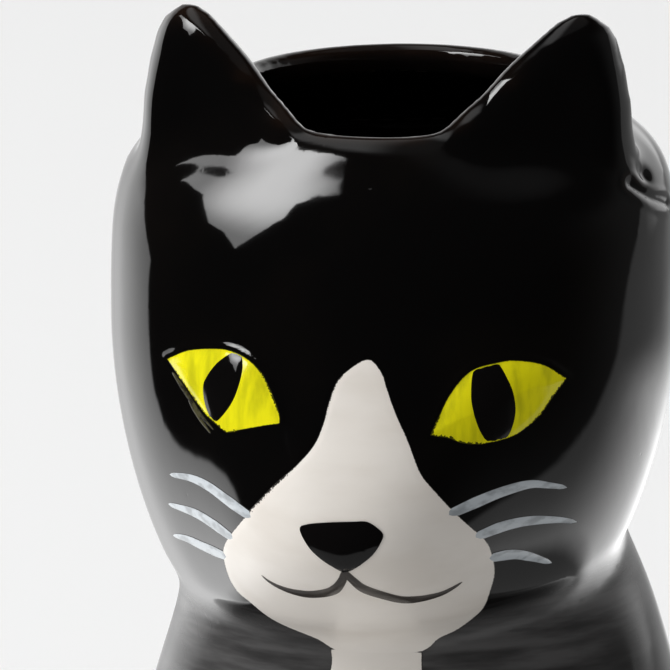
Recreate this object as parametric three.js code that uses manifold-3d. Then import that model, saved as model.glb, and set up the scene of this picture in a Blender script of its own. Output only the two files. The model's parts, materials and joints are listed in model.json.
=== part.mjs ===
// Cat vase: a slip-cast, hand-painted flower vase in the shape of a seated cat.
// Millimetres, +Z up, the face looks towards -Y, origin at the middle of the foot on the table.
import * as THREE from 'three';
import { mergeVertices } from 'three/addons/utils/BufferGeometryUtils.js';
import Module from 'manifold-3d';

const wasm = await Module();
wasm.setup();

const { smoothstep, lerp, clamp, degToRad } = THREE.MathUtils;

// Driving dimensions of the two hollow castings
const WALL = 5; // thickness of the cast wall
const SLIP_GAP = 0.3; // layer of slip between two castings
const BODY_WIDTH = 108; // across the body above the haunches
const BODY_FRONT = 45; // from the axis to the belly
const BODY_BACK = 56; // from the axis to the rump
const BODY_SWELL_HEIGHT = 34; // where the body is widest
const FOOT_WIDTH = 96; // across the foot
const HAUNCH_SWELL = 5; // how far each thigh stands out from the flank
const HAUNCH_HEIGHT = 31; // middle of the thigh
const HAUNCH_LENGTH = 46; // length of the thigh
const HAUNCH_SPAN = 22; // how far it fades out up and down
const CHEST_SWELL = 6; // how far the chest stands out
const CHEST_HEIGHT = 80; // middle of the chest
const CHEST_SPAN = 20; // how far it fades out up and down
const CHEST_BREADTH = 22; // and to the sides
const SHOULDER_SHIFT = 1.4; // the shoulders sit a little to the cat's left
const BACK_SWELL = 6; // how far the back arches behind the shoulders
const NECK_HEIGHT = 115.7; // middle of the neck seam above the table
const NECK_WIDTH = 74; // across the neck seam
const NECK_TILT = degToRad(18); // the seam drops towards the chin
const NECK_LEAN = degToRad(3.8); // the seam drops towards the cat's right side
const NECK_BLEND = 42; // how far from the seam the tilt fades out
const HEAD_WIDTH = 94.3; // across the cheeks
const HEAD_FACE = 32; // from the axis to the flat of the face
const HEAD_BACK = 47.8; // from the axis to the back of the head
const CHEEK_HEIGHT = 43; // widest part of the head above the neck seam
const HEAD_FORWARD = 5.5; // how far the cheeks sit in front of the neck
const RIM_HEIGHT = 82.4; // rim above the neck seam
const RIM_WIDTH = 54; // across the outside of the rim
const RIM_FRONT = 24.5; // from the axis to the outside of the rim between the ears
const RIM_DIP = 6.8; // how far the rim drops between the ears

// Driving dimensions of the muzzle, modelled in one with the head
const MUZZLE_REACH = 15;
const MUZZLE_WIDTH = 48;
const MUZZLE_HEIGHT = 14; // height of its middle above the neck seam
const MUZZLE_ABOVE = 21; // how far it fades out upwards
const MUZZLE_BELOW = 18; // how far it fades out downwards
const CHIN_TUCK = 8; // height in which the chin turns under to the neck

// Driving dimensions of the ears
const EAR_THICKNESS = 8;
const EAR_EDGE = 2.5; // rounding of the ear's edge
const EAR_TURN = degToRad(22); // each ear looks a little outwards
const EAR_LEAN = degToRad(8); // and leans back
const EAR_PLACE = -18; // how far in front of the axis the ears begin, at the rim
const EAR_SCOOP = 1.8; // depth of the hollow in front

// Driving dimensions of the legs, paws and tail
const LEG_WIDTH = 23;
const LEG_HEIGHT = 80;
const LEG_SPREAD = 27; // between the middles of the forelegs
const LEG_PLACE = -41; // in front of the axis
const LEG_LEAN = degToRad(5); // the legs lean back to the shoulders
const FORE_PAW_WIDTH = 24;
const FORE_PAW_LENGTH = 33;
const FORE_PAW_HEIGHT = 17;
const FORE_PAW_SPREAD = 27.5;
const FORE_PAW_PLACE = -47;
const HIND_PAW_WIDTH = 21;
const HIND_PAW_LENGTH = 37;
const HIND_PAW_HEIGHT = 15;
const HIND_PAW_INSET = 14.5; // from the flank to the middle of the paw
const HIND_PAW_PLACE = -30;
const HIND_PAW_TURN = degToRad(14);
const TOE_GROOVE = 1.4; // width of the lines between the toes
const TOE_GROOVE_DEPTH = 1.6;
const TAIL_WIDTH = 17;
const TAIL_TIP_WIDTH = 12;
const TAIL_ROOT_HEIGHT = 30;
const TAIL_START = degToRad(84); // where the tail leaves the rump, from the cat's left
const TAIL_END = degToRad(-15); // where its tip lies

// Driving dimensions of the painted fields, which are fired on in layers
const PAINT = 0.5; // thickness of a layer
const EYE_RAISE = 1; // how far the eyes stand out
const NOSE_RAISE = 1.4; // how far the nose stands out
const MOUTH_STROKE = 0.9; // width of the brush strokes
const WHISKER_STROKE = 1.2;
const BIB_WIDTH = 26;
const BIB_TOP_WIDTH = 14;
const BIB_DEPTH = 46; // from the neck seam down
const BIB_SHIFT = 0.9; // how far the bib is painted to the cat's left

// How finely the curved castings are faceted
const TURN_STEPS = 40;
const JAW_STEPS = 8;
const CROWN_STEPS = 7;
const LIP_STEPS = 4;

// Turning and joining

function solidOf(geometry) {
  geometry.deleteAttribute('normal');
  geometry.deleteAttribute('uv');
  const merged = mergeVertices(geometry, 1e-4);
  const vertProperties = new Float32Array(merged.getAttribute('position').array);
  const triVerts = new Uint32Array(merged.index.array);
  return new wasm.Manifold(new wasm.Mesh({ numProp: 3, vertProperties, triVerts }));
}

function geometryOf(solid) {
  const { vertProperties, triVerts } = solid.getMesh();
  const geometry = new THREE.BufferGeometry();
  geometry.setAttribute('position', new THREE.BufferAttribute(vertProperties, 3));
  geometry.setIndex(new THREE.BufferAttribute(triVerts, 1));
  geometry.computeVertexNormals();
  return geometry;
}

function reshape(geometry, move) {
  const position = geometry.getAttribute('position');
  const point = new THREE.Vector3();
  for (let i = 0; i < position.count; i++) {
    point.fromBufferAttribute(position, i);
    move(point);
    position.setXYZ(i, point.x, point.y, point.z);
  }
  return geometry;
}

// Turns a profile of (radius, height) about +Z, starting at the front, and moulds the result.
function turned(profile, mould, steps = TURN_STEPS) {
  const geometry = new THREE.LatheGeometry(profile, steps);
  geometry.rotateX(Math.PI / 2);
  return solidOf(reshape(geometry, mould));
}

// The profile moved outwards by a distance, measured square to its own curve.
function offsetProfile(profile, distance) {
  return profile.map((point, i) => {
    const before = profile[Math.max(i - 1, 0)];
    const after = profile[Math.min(i + 1, profile.length - 1)];
    const along = after.clone().sub(before).normalize();
    return new THREE.Vector2(point.x + along.y * distance, point.y - along.x * distance);
  });
}

function everySecond(points) {
  return points.filter((point, i) => i % 2 === 0 || i === points.length - 1);
}

// Head

const headFrontRatio = HEAD_FACE / (HEAD_WIDTH / 2);
const headBackRatio = HEAD_BACK / (HEAD_WIDTH / 2);
const rimFrontRatio = RIM_FRONT / (RIM_WIDTH / 2);

function seamDrop(point) {
  return Math.tan(NECK_TILT) * point.y + Math.tan(NECK_LEAN) * point.x;
}

function headProfile() {
  const cheek = new THREE.Vector2(HEAD_WIDTH / 2, CHEEK_HEIGHT);
  const dome = RIM_HEIGHT - CHEEK_HEIGHT;
  const jaw = new THREE.QuadraticBezierCurve(
    new THREE.Vector2(NECK_WIDTH / 2, 0),
    new THREE.Vector2(HEAD_WIDTH / 2, 0.5 * CHEEK_HEIGHT),
    cheek,
  );
  const crown = new THREE.CubicBezierCurve(
    cheek,
    new THREE.Vector2(HEAD_WIDTH / 2, CHEEK_HEIGHT + 0.78 * dome),
    new THREE.Vector2(lerp(HEAD_WIDTH / 2, RIM_WIDTH / 2, 0.02), CHEEK_HEIGHT + 0.66 * dome),
    new THREE.Vector2(RIM_WIDTH / 2, RIM_HEIGHT),
  );
  return [...jaw.getPoints(JAW_STEPS), ...crown.getPoints(CROWN_STEPS).slice(1)];
}

function mouldHead(point) {
  const height = point.z;
  const top = smoothstep(height, CHEEK_HEIGHT, RIM_HEIGHT);
  const round = smoothstep(height, lerp(CHEEK_HEIGHT, RIM_HEIGHT, 0.6), RIM_HEIGHT);
  point.y *= point.y < 0 ? lerp(headFrontRatio, rimFrontRatio, round) : lerp(headBackRatio, 1, round);
  const frontness = Math.max(-point.y / HEAD_FACE, 0);
  point.z += seamDrop(point) * (1 - smoothstep(height, 0, NECK_BLEND));
  point.z -= RIM_DIP * clamp((-2 * point.y) / RIM_WIDTH, 0, 1) * top;
  point.y -= HEAD_FORWARD * Math.sin(Math.PI * clamp(height / (1.6 * CHEEK_HEIGHT), 0, 1));
  const rise = point.z - MUZZLE_HEIGHT;
  const fade = rise > 0 ? MUZZLE_ABOVE : MUZZLE_BELOW;
  const across = Math.exp(-(Math.abs((2 * point.x) / MUZZLE_WIDTH) ** 2.6));
  const upward = Math.exp(-((rise / fade) ** 2)) * smoothstep(height, -0.5, CHIN_TUCK);
  point.y -= MUZZLE_REACH * across * upward * smoothstep(frontness, 0, 0.6);
}

// The outside of the head as a solid, without its hollow, grown by a distance.
function headForm(grow) {
  const outside = offsetProfile(headProfile(), grow);
  const inside = offsetProfile(headProfile(), -WALL - grow);
  const lip = roundLip(outside.at(-1), inside.at(-1));
  const bottom = new THREE.Vector2(0, outside[0].y);
  const top = new THREE.Vector2(0, lip.at(-1).y);
  return turned([bottom, ...outside, ...lip, top], mouldHead);
}

function roundLip(outer, inner) {
  const middle = outer.clone().add(inner).multiplyScalar(0.5);
  const radius = outer.distanceTo(inner) / 2;
  const start = outer.clone().sub(middle).angle();
  const lip = [];
  for (let i = 1; i < LIP_STEPS; i++) {
    const angle = start + (Math.PI * i) / LIP_STEPS;
    lip.push(new THREE.Vector2(radius * Math.cos(angle), radius * Math.sin(angle)).add(middle));
  }
  return lip;
}

function headShell() {
  const outside = headProfile();
  const inside = everySecond(offsetProfile(outside, -WALL));
  inside[0].y = outside[0].y;
  const lip = roundLip(outside.at(-1), inside.at(-1));
  const wall = [...outside, ...lip, ...inside.reverse(), outside[0]];
  return turned(wall, mouldHead);
}

// The space above the mouth, which stays free.
function mouthSpace() {
  const radius = RIM_WIDTH / 2 - 0.75 * WALL;
  const profile = [
    new THREE.Vector2(0, RIM_HEIGHT - 4 * WALL),
    new THREE.Vector2(radius, RIM_HEIGHT - 4 * WALL),
    new THREE.Vector2(radius, 2 * RIM_HEIGHT),
    new THREE.Vector2(0, 2 * RIM_HEIGHT),
  ];
  return turned(profile, (point) => {
    point.y *= point.y < 0 ? rimFrontRatio : 1;
  });
}

// Outlines on the head are drawn for a head 94.3 mm wide, and grow with it.
function onHead(points) {
  const scale = HEAD_WIDTH / 94.3;
  return points.map(([x, z]) => [scale * x, scale * z]);
}

// Ears

// Outline of the cat's left ear seen from the front, from the rim over the tip and down the outside.
const EAR_OUTLINE = onHead([
  [11.6, 77],
  [15.1, 80.2],
  [18.4, 83.5],
  [21, 86.7],
  [26.4, 91.4],
  [29.2, 93.8],
  [32.6, 95],
  [35.6, 93.6],
  [37.7, 91.2],
  [39.7, 83.8],
  [40.7, 76],
  [41.2, 66],
]);
// its lowest point, inside the head, and the middle and half size of the hollow in front
const [EAR_ROOT, EAR_HOLLOW, EAR_HOLLOW_SIZE] = onHead([[26, 52], [32, 80], [7, 12]]);

function placeEar(point) {
  point.y += EAR_PLACE + Math.tan(EAR_TURN) * (point.x - RIM_WIDTH / 4);
  point.y += Math.tan(EAR_LEAN) * (point.z - RIM_HEIGHT);
}

function earSolid() {
  const outline = EAR_OUTLINE.map(([x, z]) => new THREE.Vector2(x, z));
  const shape = new THREE.Shape();
  shape.moveTo(...EAR_ROOT);
  shape.lineTo(...EAR_OUTLINE[0]);
  shape.splineThru(outline.slice(1));
  shape.lineTo(...EAR_ROOT);
  const plate = new THREE.ExtrudeGeometry(shape, {
    depth: EAR_THICKNESS - 2 * EAR_EDGE,
    bevelThickness: EAR_EDGE,
    bevelSize: EAR_EDGE,
    bevelOffset: -EAR_EDGE,
    bevelSegments: 2,
    curveSegments: 2,
  });
  plate.rotateX(Math.PI / 2);
  plate.translate(0, EAR_THICKNESS / 2, 0);
  const hollow = new THREE.SphereGeometry(1, 16, 10);
  hollow.scale(EAR_HOLLOW_SIZE[0], 2 * EAR_SCOOP, EAR_HOLLOW_SIZE[1]);
  hollow.translate(EAR_HOLLOW[0], -EAR_THICKNESS / 2 - EAR_SCOOP, EAR_HOLLOW[1]);
  const ear = solidOf(reshape(plate, placeEar)).subtract(solidOf(reshape(hollow, placeEar)));
  return mainBody(ear.subtract(headForm(SLIP_GAP)).subtract(mouthSpace()));
}

// Body

function bodyProfile() {
  const swell = new THREE.Vector2(BODY_WIDTH / 2, BODY_SWELL_HEIGHT);
  const back = NECK_HEIGHT - BODY_SWELL_HEIGHT;
  const flank = new THREE.QuadraticBezierCurve(
    new THREE.Vector2(FOOT_WIDTH / 2, 0),
    new THREE.Vector2(BODY_WIDTH / 2, 0.4 * BODY_SWELL_HEIGHT),
    swell,
  );
  const shoulder = new THREE.CubicBezierCurve(
    swell,
    new THREE.Vector2(BODY_WIDTH / 2, BODY_SWELL_HEIGHT + 0.36 * back),
    new THREE.Vector2(lerp(BODY_WIDTH / 2, NECK_WIDTH / 2, 0.52), BODY_SWELL_HEIGHT + 0.74 * back),
    new THREE.Vector2(NECK_WIDTH / 2, NECK_HEIGHT - SLIP_GAP),
  );
  return [...flank.getPoints(JAW_STEPS - 3), ...shoulder.getPoints(JAW_STEPS).slice(1)];
}

function mouldBody(point) {
  const height = point.z;
  const rise = smoothstep(height, BODY_SWELL_HEIGHT, NECK_HEIGHT);
  const frontRatio = lerp(BODY_FRONT / (BODY_WIDTH / 2), headFrontRatio, rise);
  const backRatio = lerp(BODY_BACK / (BODY_WIDTH / 2), headBackRatio, rise);
  point.y *= point.y < 0 ? frontRatio : backRatio;
  const foot = smoothstep(height, 0, HAUNCH_HEIGHT);
  const frontness = clamp(-point.y / BODY_FRONT, 0, 1);
  const sideness = clamp((2 * Math.abs(point.x)) / BODY_WIDTH, 0, 1);
  const chest = Math.exp(-(((height - CHEST_HEIGHT) / CHEST_SPAN) ** 2) - (point.x / CHEST_BREADTH) ** 2);
  const along = (2 * point.y) / HAUNCH_LENGTH;
  const thigh = Math.exp(-(((height - HAUNCH_HEIGHT) / HAUNCH_SPAN) ** 2) - along ** 2) * foot;
  point.y -= CHEST_SWELL * chest * frontness;
  point.y += BACK_SWELL * Math.sin(Math.PI * rise) * clamp(point.y / BODY_BACK, 0, 1);
  point.x += Math.sign(point.x) * HAUNCH_SWELL * thigh * sideness;
  const fade = smoothstep(height, NECK_HEIGHT - NECK_BLEND, NECK_HEIGHT - SLIP_GAP);
  point.z += seamDrop(point) * fade;
  point.x += SHOULDER_SHIFT * Math.sin(Math.PI * clamp(height / NECK_HEIGHT, 0, 1) ** 3);
}

function bodyForm(grow) {
  const outside = offsetProfile(bodyProfile(), grow);
  const bottom = new THREE.Vector2(0, outside[0].y);
  const top = new THREE.Vector2(0, outside.at(-1).y);
  return turned([bottom, ...outside, top], mouldBody);
}

function bodyShell() {
  const outside = bodyProfile();
  const inside = everySecond(offsetProfile(outside, -WALL)).filter((point) => point.y > 2 * WALL);
  inside.at(-1).y = outside.at(-1).y;
  const wall = [
    new THREE.Vector2(0, 0),
    ...outside,
    ...inside.reverse(),
    new THREE.Vector2(inside.at(-1).x - WALL, WALL),
    new THREE.Vector2(0, WALL),
  ];
  return turned(wall, mouldBody);
}

// Legs, paws and tail

// The main body of a cut casting, without the slivers that the cut leaves.
function mainBody(solid) {
  return solid.decompose().reduce((a, b) => (a.volume() > b.volume() ? a : b));
}

function block(width, depth, height, x, y, z) {
  const box = new THREE.BoxGeometry(width, depth, height);
  box.translate(x, y, z);
  return solidOf(box);
}

// Cuts away what would lie inside the body or under the table top.
function freeOfBody(solid) {
  const span = 3 * BODY_WIDTH;
  const underTable = block(span, span, span, 0, 0, -span / 2);
  return mainBody(solid.subtract(bodyForm(SLIP_GAP)).subtract(underTable));
}

// Keeps a piece on the cat's left of the middle plane.
function onLeft(solid) {
  const span = 3 * BODY_WIDTH;
  return solid.subtract(block(span, span, span, (SLIP_GAP - span) / 2, 0, 0));
}

// A paw as a rounded lump; its toes point to -Y.
function pawLump(width, length, height, place, grow = 0) {
  const lump = new THREE.SphereGeometry(1, 18, 10);
  lump.rotateX(Math.PI / 2);
  reshape(lump, (point) => {
    point.x *= width / 2 + grow;
    point.y *= length / 2 + grow;
    point.z *= 0.6 * height + grow;
    point.z += 0.4 * height;
    place(point);
  });
  return solidOf(lump);
}

function pawWithToes(width, length, height, place) {
  let paw = pawLump(width, length, height, place);
  for (const side of [-1, 1]) {
    const groove = new THREE.BoxGeometry(TOE_GROOVE, length, 2 * height);
    groove.translate((side * width) / 6, TOE_GROOVE_DEPTH - 0.95 * length, 0);
    paw = paw.subtract(solidOf(reshape(groove, place)));
  }
  return paw;
}

function placeForePaw(point) {
  point.x += FORE_PAW_SPREAD / 2;
  point.y += FORE_PAW_PLACE;
}

function placeHindPaw(point) {
  point.applyAxisAngle(new THREE.Vector3(0, 0, 1), HIND_PAW_TURN);
  point.x += BODY_WIDTH / 2 - HIND_PAW_INSET;
  point.y += HIND_PAW_PLACE;
}

function forePawLump(grow) {
  return pawLump(FORE_PAW_WIDTH, FORE_PAW_LENGTH, FORE_PAW_HEIGHT, placeForePaw, grow);
}

function legLump(grow) {
  const radius = LEG_WIDTH / 2 + grow;
  const top = LEG_HEIGHT + grow;
  const limb = new THREE.SplineCurve([
    new THREE.Vector2(0.84 * radius, 0),
    new THREE.Vector2(0.88 * radius, 0.3 * top),
    new THREE.Vector2(radius, 0.62 * top),
    new THREE.Vector2(0.84 * radius, 0.86 * top),
    new THREE.Vector2(0.4 * radius, 0.97 * top),
    new THREE.Vector2(0, top),
  ]);
  const profile = [new THREE.Vector2(0, 0), ...limb.getPoints(10)];
  profile.at(-1).x = 0;
  const place = (point) => {
    point.x += LEG_SPREAD / 2;
    point.y += LEG_PLACE + Math.tan(LEG_LEAN) * point.z;
  };
  return turned(profile, place, 18);
}

function foreLeg() {
  return freeOfBody(onLeft(legLump(0)).subtract(forePawLump(SLIP_GAP)));
}

function forePaw() {
  return freeOfBody(onLeft(pawWithToes(FORE_PAW_WIDTH, FORE_PAW_LENGTH, FORE_PAW_HEIGHT, placeForePaw)));
}

function hindPawLump(grow) {
  return pawLump(HIND_PAW_WIDTH, HIND_PAW_LENGTH, HIND_PAW_HEIGHT, placeHindPaw, grow);
}

function hindPaw() {
  const paw = pawWithToes(HIND_PAW_WIDTH, HIND_PAW_LENGTH, HIND_PAW_HEIGHT, placeHindPaw);
  return freeOfBody(paw.subtract(forePawLump(SLIP_GAP)).subtract(legLump(SLIP_GAP)));
}

// The run of the tail from the rump round the cat's left side, close to the foot.
function tailRun() {
  const beside = 0.55 * TAIL_WIDTH;
  const ratio = FOOT_WIDTH / BODY_WIDTH;
  const points = [];
  for (let i = 0; i <= 6; i++) {
    const angle = lerp(TAIL_START, TAIL_END, i / 6);
    const reach = (Math.sin(angle) > 0 ? BODY_BACK : BODY_FRONT) * ratio + beside;
    const rest = lerp(TAIL_WIDTH, TAIL_TIP_WIDTH, i / 6) / 2 + SLIP_GAP;
    const height = lerp(TAIL_ROOT_HEIGHT, rest, smoothstep(i, 0, 2.5));
    const point = new THREE.Vector3((FOOT_WIDTH / 2 + beside) * Math.cos(angle), reach * Math.sin(angle), height);
    // the root lies inside the rump
    points.push(i ? point : point.multiplyScalar(0.72).setZ(height));
  }
  return new THREE.CatmullRomCurve3(points);
}

function tail() {
  const run = tailRun();
  const profile = [new THREE.Vector2(0, 0)];
  const steps = 20;
  for (let i = 0; i <= steps; i++) {
    const t = i / steps;
    const tip = Math.sqrt(1 - clamp((t - 0.9) / 0.1, 0, 1) ** 2);
    profile.push(new THREE.Vector2((lerp(TAIL_WIDTH, TAIL_TIP_WIDTH, t) / 2) * tip, t));
  }
  profile.at(-1).x = 0;
  const bend = (point) => {
    const t = clamp(point.z, 0, 1);
    const ahead = run.getTangent(t);
    const side = new THREE.Vector3(-ahead.y, ahead.x, 0).normalize();
    const up = ahead.clone().cross(side);
    const { x, y } = point;
    point.copy(run.getPoint(t)).addScaledVector(side, x).addScaledVector(up, y);
  };
  return freeOfBody(turned(profile, bend, 14).subtract(hindPawLump(SLIP_GAP)));
}

// Painted fields. Outlines are seen from the front, in the head's own (x, height above the seam).

const MUZZLE_OUTLINE = onHead([
  [2.4, 44.2],
  [5.4, 41.2],
  [7.6, 36.2],
  [12.1, 26.8],
  [14.7, 23.3],
  [21.2, 14.3],
  [22.3, 9.5],
  [21.3, 4.6],
  [15, -4],
  [8, -7],
  [-6, -7],
  [-14.4, -4],
  [-21.2, 2.4],
  [-22.8, 8.8],
  [-20.1, 14.2],
  [-11.8, 23.9],
  [-5.4, 30.6],
  [-3, 37.9],
  [-1, 42],
]);
const EYE_OUTLINE = onHead([
  [12.7, 33.3],
  [13.6, 36.5],
  [18.2, 42.2],
  [22, 43.5],
  [29.4, 42.2],
  [32.7, 39.8],
  [30.4, 36.8],
  [24.6, 31.4],
  [21, 30.6],
]);
const PUPIL_OUTLINE = onHead([
  [20.4, 42.6],
  [19, 38.8],
  [20, 35],
  [23.4, 31.6],
  [25.5, 36],
  [24.3, 40.2],
]);
const NOSE_OUTLINE = onHead([
  [-6.8, 18],
  [-5.4, 19.1],
  [0, 19.7],
  [4.8, 19.6],
  [6.6, 17.8],
  [4.7, 14.1],
  [0.2, 11.2],
  [-3.4, 13.2],
]);
const [MUZZLE_MIDDLE, NOSE_MIDDLE] = onHead([[0, 14], [0, 15.5]]);
const MOUTH_STROKES = [
  onHead([[0.1, 11], [-0.5, 9.2], [-2.4, 6.9], [-6, 5.7], [-11.9, 6.1], [-14.7, 7.7]]),
  onHead([[-0.1, 11], [1.2, 9.4], [2.8, 7.6], [7.4, 5.1], [14, 5.3], [17.4, 7.1]]),
];
const WHISKERS = {
  upper: onHead([[15.5, 19], [20.5, 20.2], [24.4, 21.4], [28.2, 21.7], [33, 20.5]]),
  middle: onHead([[19, 14], [24.1, 15.2], [28, 15.5], [34, 14.2]]),
  lower: onHead([[21, 10.2], [25.8, 9.8], [29, 9.2], [32.5, 7.6]]),
};

function smoothOutline(points, side = 1) {
  const corners = points.map(([x, z]) => new THREE.Vector3(side * x, z, 0));
  const curve = new THREE.CatmullRomCurve3(corners, true);
  return curve.getPoints(2 * points.length).slice(0, -1);
}

// A brush stroke along a line of points; it thins out to its far end.
function strokeOutline(points, width, side = 1) {
  const line = new THREE.SplineCurve(points.map(([x, z]) => new THREE.Vector2(side * x, z)));
  const steps = 2 * points.length;
  const edges = [[], []];
  for (let i = 0; i <= steps; i++) {
    const middle = line.getPoint(i / steps);
    const along = line.getTangent(i / steps);
    const half = (width / 2) * (1 - 0.6 * (i / steps) ** 2);
    edges[0].push(new THREE.Vector2(middle.x - along.y * half, middle.y + along.x * half));
    edges[1].unshift(new THREE.Vector2(middle.x + along.y * half, middle.y - along.x * half));
  }
  return edges.flat();
}

// Everything in front of the axis that lies within an outline.
function infront(outline) {
  const prism = new THREE.ExtrudeGeometry(new THREE.Shape(outline), {
    depth: BODY_WIDTH,
    bevelEnabled: false,
  });
  prism.rotateX(Math.PI / 2);
  return solidOf(prism);
}

// A field of paint on a form, from a distance over its surface, within a prism.
function painted(form, prism, over, thickness) {
  return mainBody(form(over + thickness).intersect(prism).subtract(form(over)));
}

const overPaint = SLIP_GAP + PAINT + SLIP_GAP;
const seamFront = -Math.tan(NECK_TILT) * (NECK_WIDTH / 2) * headFrontRatio;

function muzzlePatch() {
  const above = block(BODY_WIDTH, 2 * BODY_WIDTH, RIM_HEIGHT, 0, 0, seamFront + 1 + RIM_HEIGHT / 2);
  return painted(headForm, infront(smoothOutline(MUZZLE_OUTLINE)).intersect(above), SLIP_GAP, PAINT);
}

function nose() {
  return painted(headForm, infront(smoothOutline(NOSE_OUTLINE)), overPaint, NOSE_RAISE);
}

function mouthLine() {
  const strokes = MOUTH_STROKES.map((points) => infront(strokeOutline(points, MOUTH_STROKE)));
  const [, middle] = NOSE_MIDDLE;
  const around = NOSE_OUTLINE.map(([x, z]) => [1.08 * x, middle + 1.12 * (z - middle)]);
  const line = strokes[0].add(strokes[1]).subtract(infront(smoothOutline(around)));
  return painted(headForm, line, overPaint, PAINT);
}

function iris(side) {
  return painted(headForm, infront(smoothOutline(EYE_OUTLINE, side)), SLIP_GAP, EYE_RAISE);
}

function pupil(side) {
  return painted(headForm, infront(smoothOutline(PUPIL_OUTLINE, side)), 2 * SLIP_GAP + EYE_RAISE, PAINT);
}

function whisker(points, side) {
  const [, middle] = MUZZLE_MIDDLE;
  const around = MUZZLE_OUTLINE.map(([x, z]) => [1.04 * x, middle + 1.04 * (z - middle)]);
  const stroke = infront(strokeOutline(points, WHISKER_STROKE, side));
  return painted(headForm, stroke.subtract(infront(smoothOutline(around))), SLIP_GAP, PAINT);
}

function chestBib() {
  const top = NECK_HEIGHT + seamFront - 4 * SLIP_GAP;
  const outline = [
    [-BIB_TOP_WIDTH / 2, top],
    [BIB_TOP_WIDTH / 2, top],
    [0.7 * BIB_TOP_WIDTH, top - 0.22 * BIB_DEPTH],
    [BIB_WIDTH / 2, top - 0.48 * BIB_DEPTH],
    [0.32 * BIB_WIDTH, top - 0.78 * BIB_DEPTH],
    [0, top - BIB_DEPTH],
    [-0.32 * BIB_WIDTH, top - 0.78 * BIB_DEPTH],
    [-BIB_WIDTH / 2, top - 0.48 * BIB_DEPTH],
    [-0.7 * BIB_TOP_WIDTH, top - 0.22 * BIB_DEPTH],
  ];
  const shifted = outline.map(([x, z]) => [x + BIB_SHIFT, z]);
  const legs = legLump(SLIP_GAP);
  const field = infront(smoothOutline(shifted)).subtract(legs).subtract(legs.mirror([1, 0, 0]));
  return painted(bodyForm, field, SLIP_GAP, PAINT);
}

// Finishes

function glaze(color, roughness = 0.08) {
  return new THREE.MeshStandardMaterial({ color, roughness, metalness: 0 });
}

const blackGlaze = glaze(0x0b0a0a);
const whiteGlaze = glaze(0xe6e0d8);
const yellowEnamel = glaze(0xdbd60c);
const greyEnamel = glaze(0xb4babf);
const charcoalEnamel = glaze(0x3a3634);

function piece(name, solid, material) {
  const mesh = new THREE.Mesh(geometryOf(solid), material);
  mesh.name = name;
  return mesh;
}

// Adds a left piece and its mirror image; left is the cat's own left, at +X.
function pair(parent, name, solid, material) {
  parent.add(piece(`left_${name}`, solid, material));
  parent.add(piece(`right_${name}`, solid.mirror([1, 0, 0]), material));
}

// Assembly

const catVase = new THREE.Group();
const head = new THREE.Group();
head.position.z = NECK_HEIGHT;
catVase.add(head);

catVase.add(piece('body_shell', bodyShell(), blackGlaze));
head.add(piece('head_shell', headShell(), blackGlaze));
pair(head, 'ear', earSolid(), blackGlaze);
pair(catVase, 'foreleg', foreLeg(), blackGlaze);
pair(catVase, 'forepaw', forePaw(), whiteGlaze);
pair(catVase, 'hind_paw', hindPaw(), whiteGlaze);
catVase.add(piece('tail', tail(), blackGlaze));

catVase.add(piece('chest_bib', chestBib(), whiteGlaze));
head.add(piece('muzzle_patch', muzzlePatch(), whiteGlaze));
head.add(piece('nose', nose(), blackGlaze));
head.add(piece('mouth_line', mouthLine(), charcoalEnamel));
for (const [name, side] of [['left', 1], ['right', -1]]) {
  head.add(piece(`${name}_iris`, iris(side), yellowEnamel));
  head.add(piece(`${name}_pupil`, pupil(side), blackGlaze));
  for (const [row, points] of Object.entries(WHISKERS)) {
    head.add(piece(`${name}_whisker_${row}`, whisker(points, side), greyEnamel));
  }
}

export default catVase;
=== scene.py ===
# %% [markdown]
# # A cat vase, piece by piece
# The real object is a slip-cast vase in the shape of a seated cat: two hollow castings with ears, legs
# and a tail luted on, dipped in black glaze and painted by hand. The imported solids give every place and
# size, so they are loaded first, and each new piece is laid where its solid is.

# %% Load the frame
import json
import math

import bpy
import numpy as np
from mathutils import Matrix, Vector
from mathutils.bvhtree import BVHTree

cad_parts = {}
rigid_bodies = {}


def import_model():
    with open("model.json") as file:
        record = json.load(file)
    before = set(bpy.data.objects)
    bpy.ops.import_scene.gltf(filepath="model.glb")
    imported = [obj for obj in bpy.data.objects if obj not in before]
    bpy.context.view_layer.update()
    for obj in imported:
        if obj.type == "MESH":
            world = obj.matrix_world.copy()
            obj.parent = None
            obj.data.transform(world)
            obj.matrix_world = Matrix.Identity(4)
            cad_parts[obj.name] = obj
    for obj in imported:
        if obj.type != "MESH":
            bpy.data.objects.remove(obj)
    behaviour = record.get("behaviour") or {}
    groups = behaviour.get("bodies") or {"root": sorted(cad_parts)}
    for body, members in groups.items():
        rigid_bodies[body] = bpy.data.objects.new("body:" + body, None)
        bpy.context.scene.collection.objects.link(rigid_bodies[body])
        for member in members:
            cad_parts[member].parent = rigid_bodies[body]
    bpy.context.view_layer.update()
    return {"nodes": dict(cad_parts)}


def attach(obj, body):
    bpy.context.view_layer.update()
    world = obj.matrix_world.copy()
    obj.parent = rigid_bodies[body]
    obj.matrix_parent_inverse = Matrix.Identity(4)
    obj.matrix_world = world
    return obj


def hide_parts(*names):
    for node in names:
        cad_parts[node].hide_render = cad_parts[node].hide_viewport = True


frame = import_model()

print("nodes in the frame:", len(frame["nodes"]))

# %% [markdown]
# ## Sizes
# All sizes are in millimetres and say the same as the solids do. The head is measured from the neck seam,
# a plane that drops towards the chin and leans a little to one side, because the two castings were luted
# together by hand. Blender counts in metres, so one factor turns the millimetres into metres.

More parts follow.
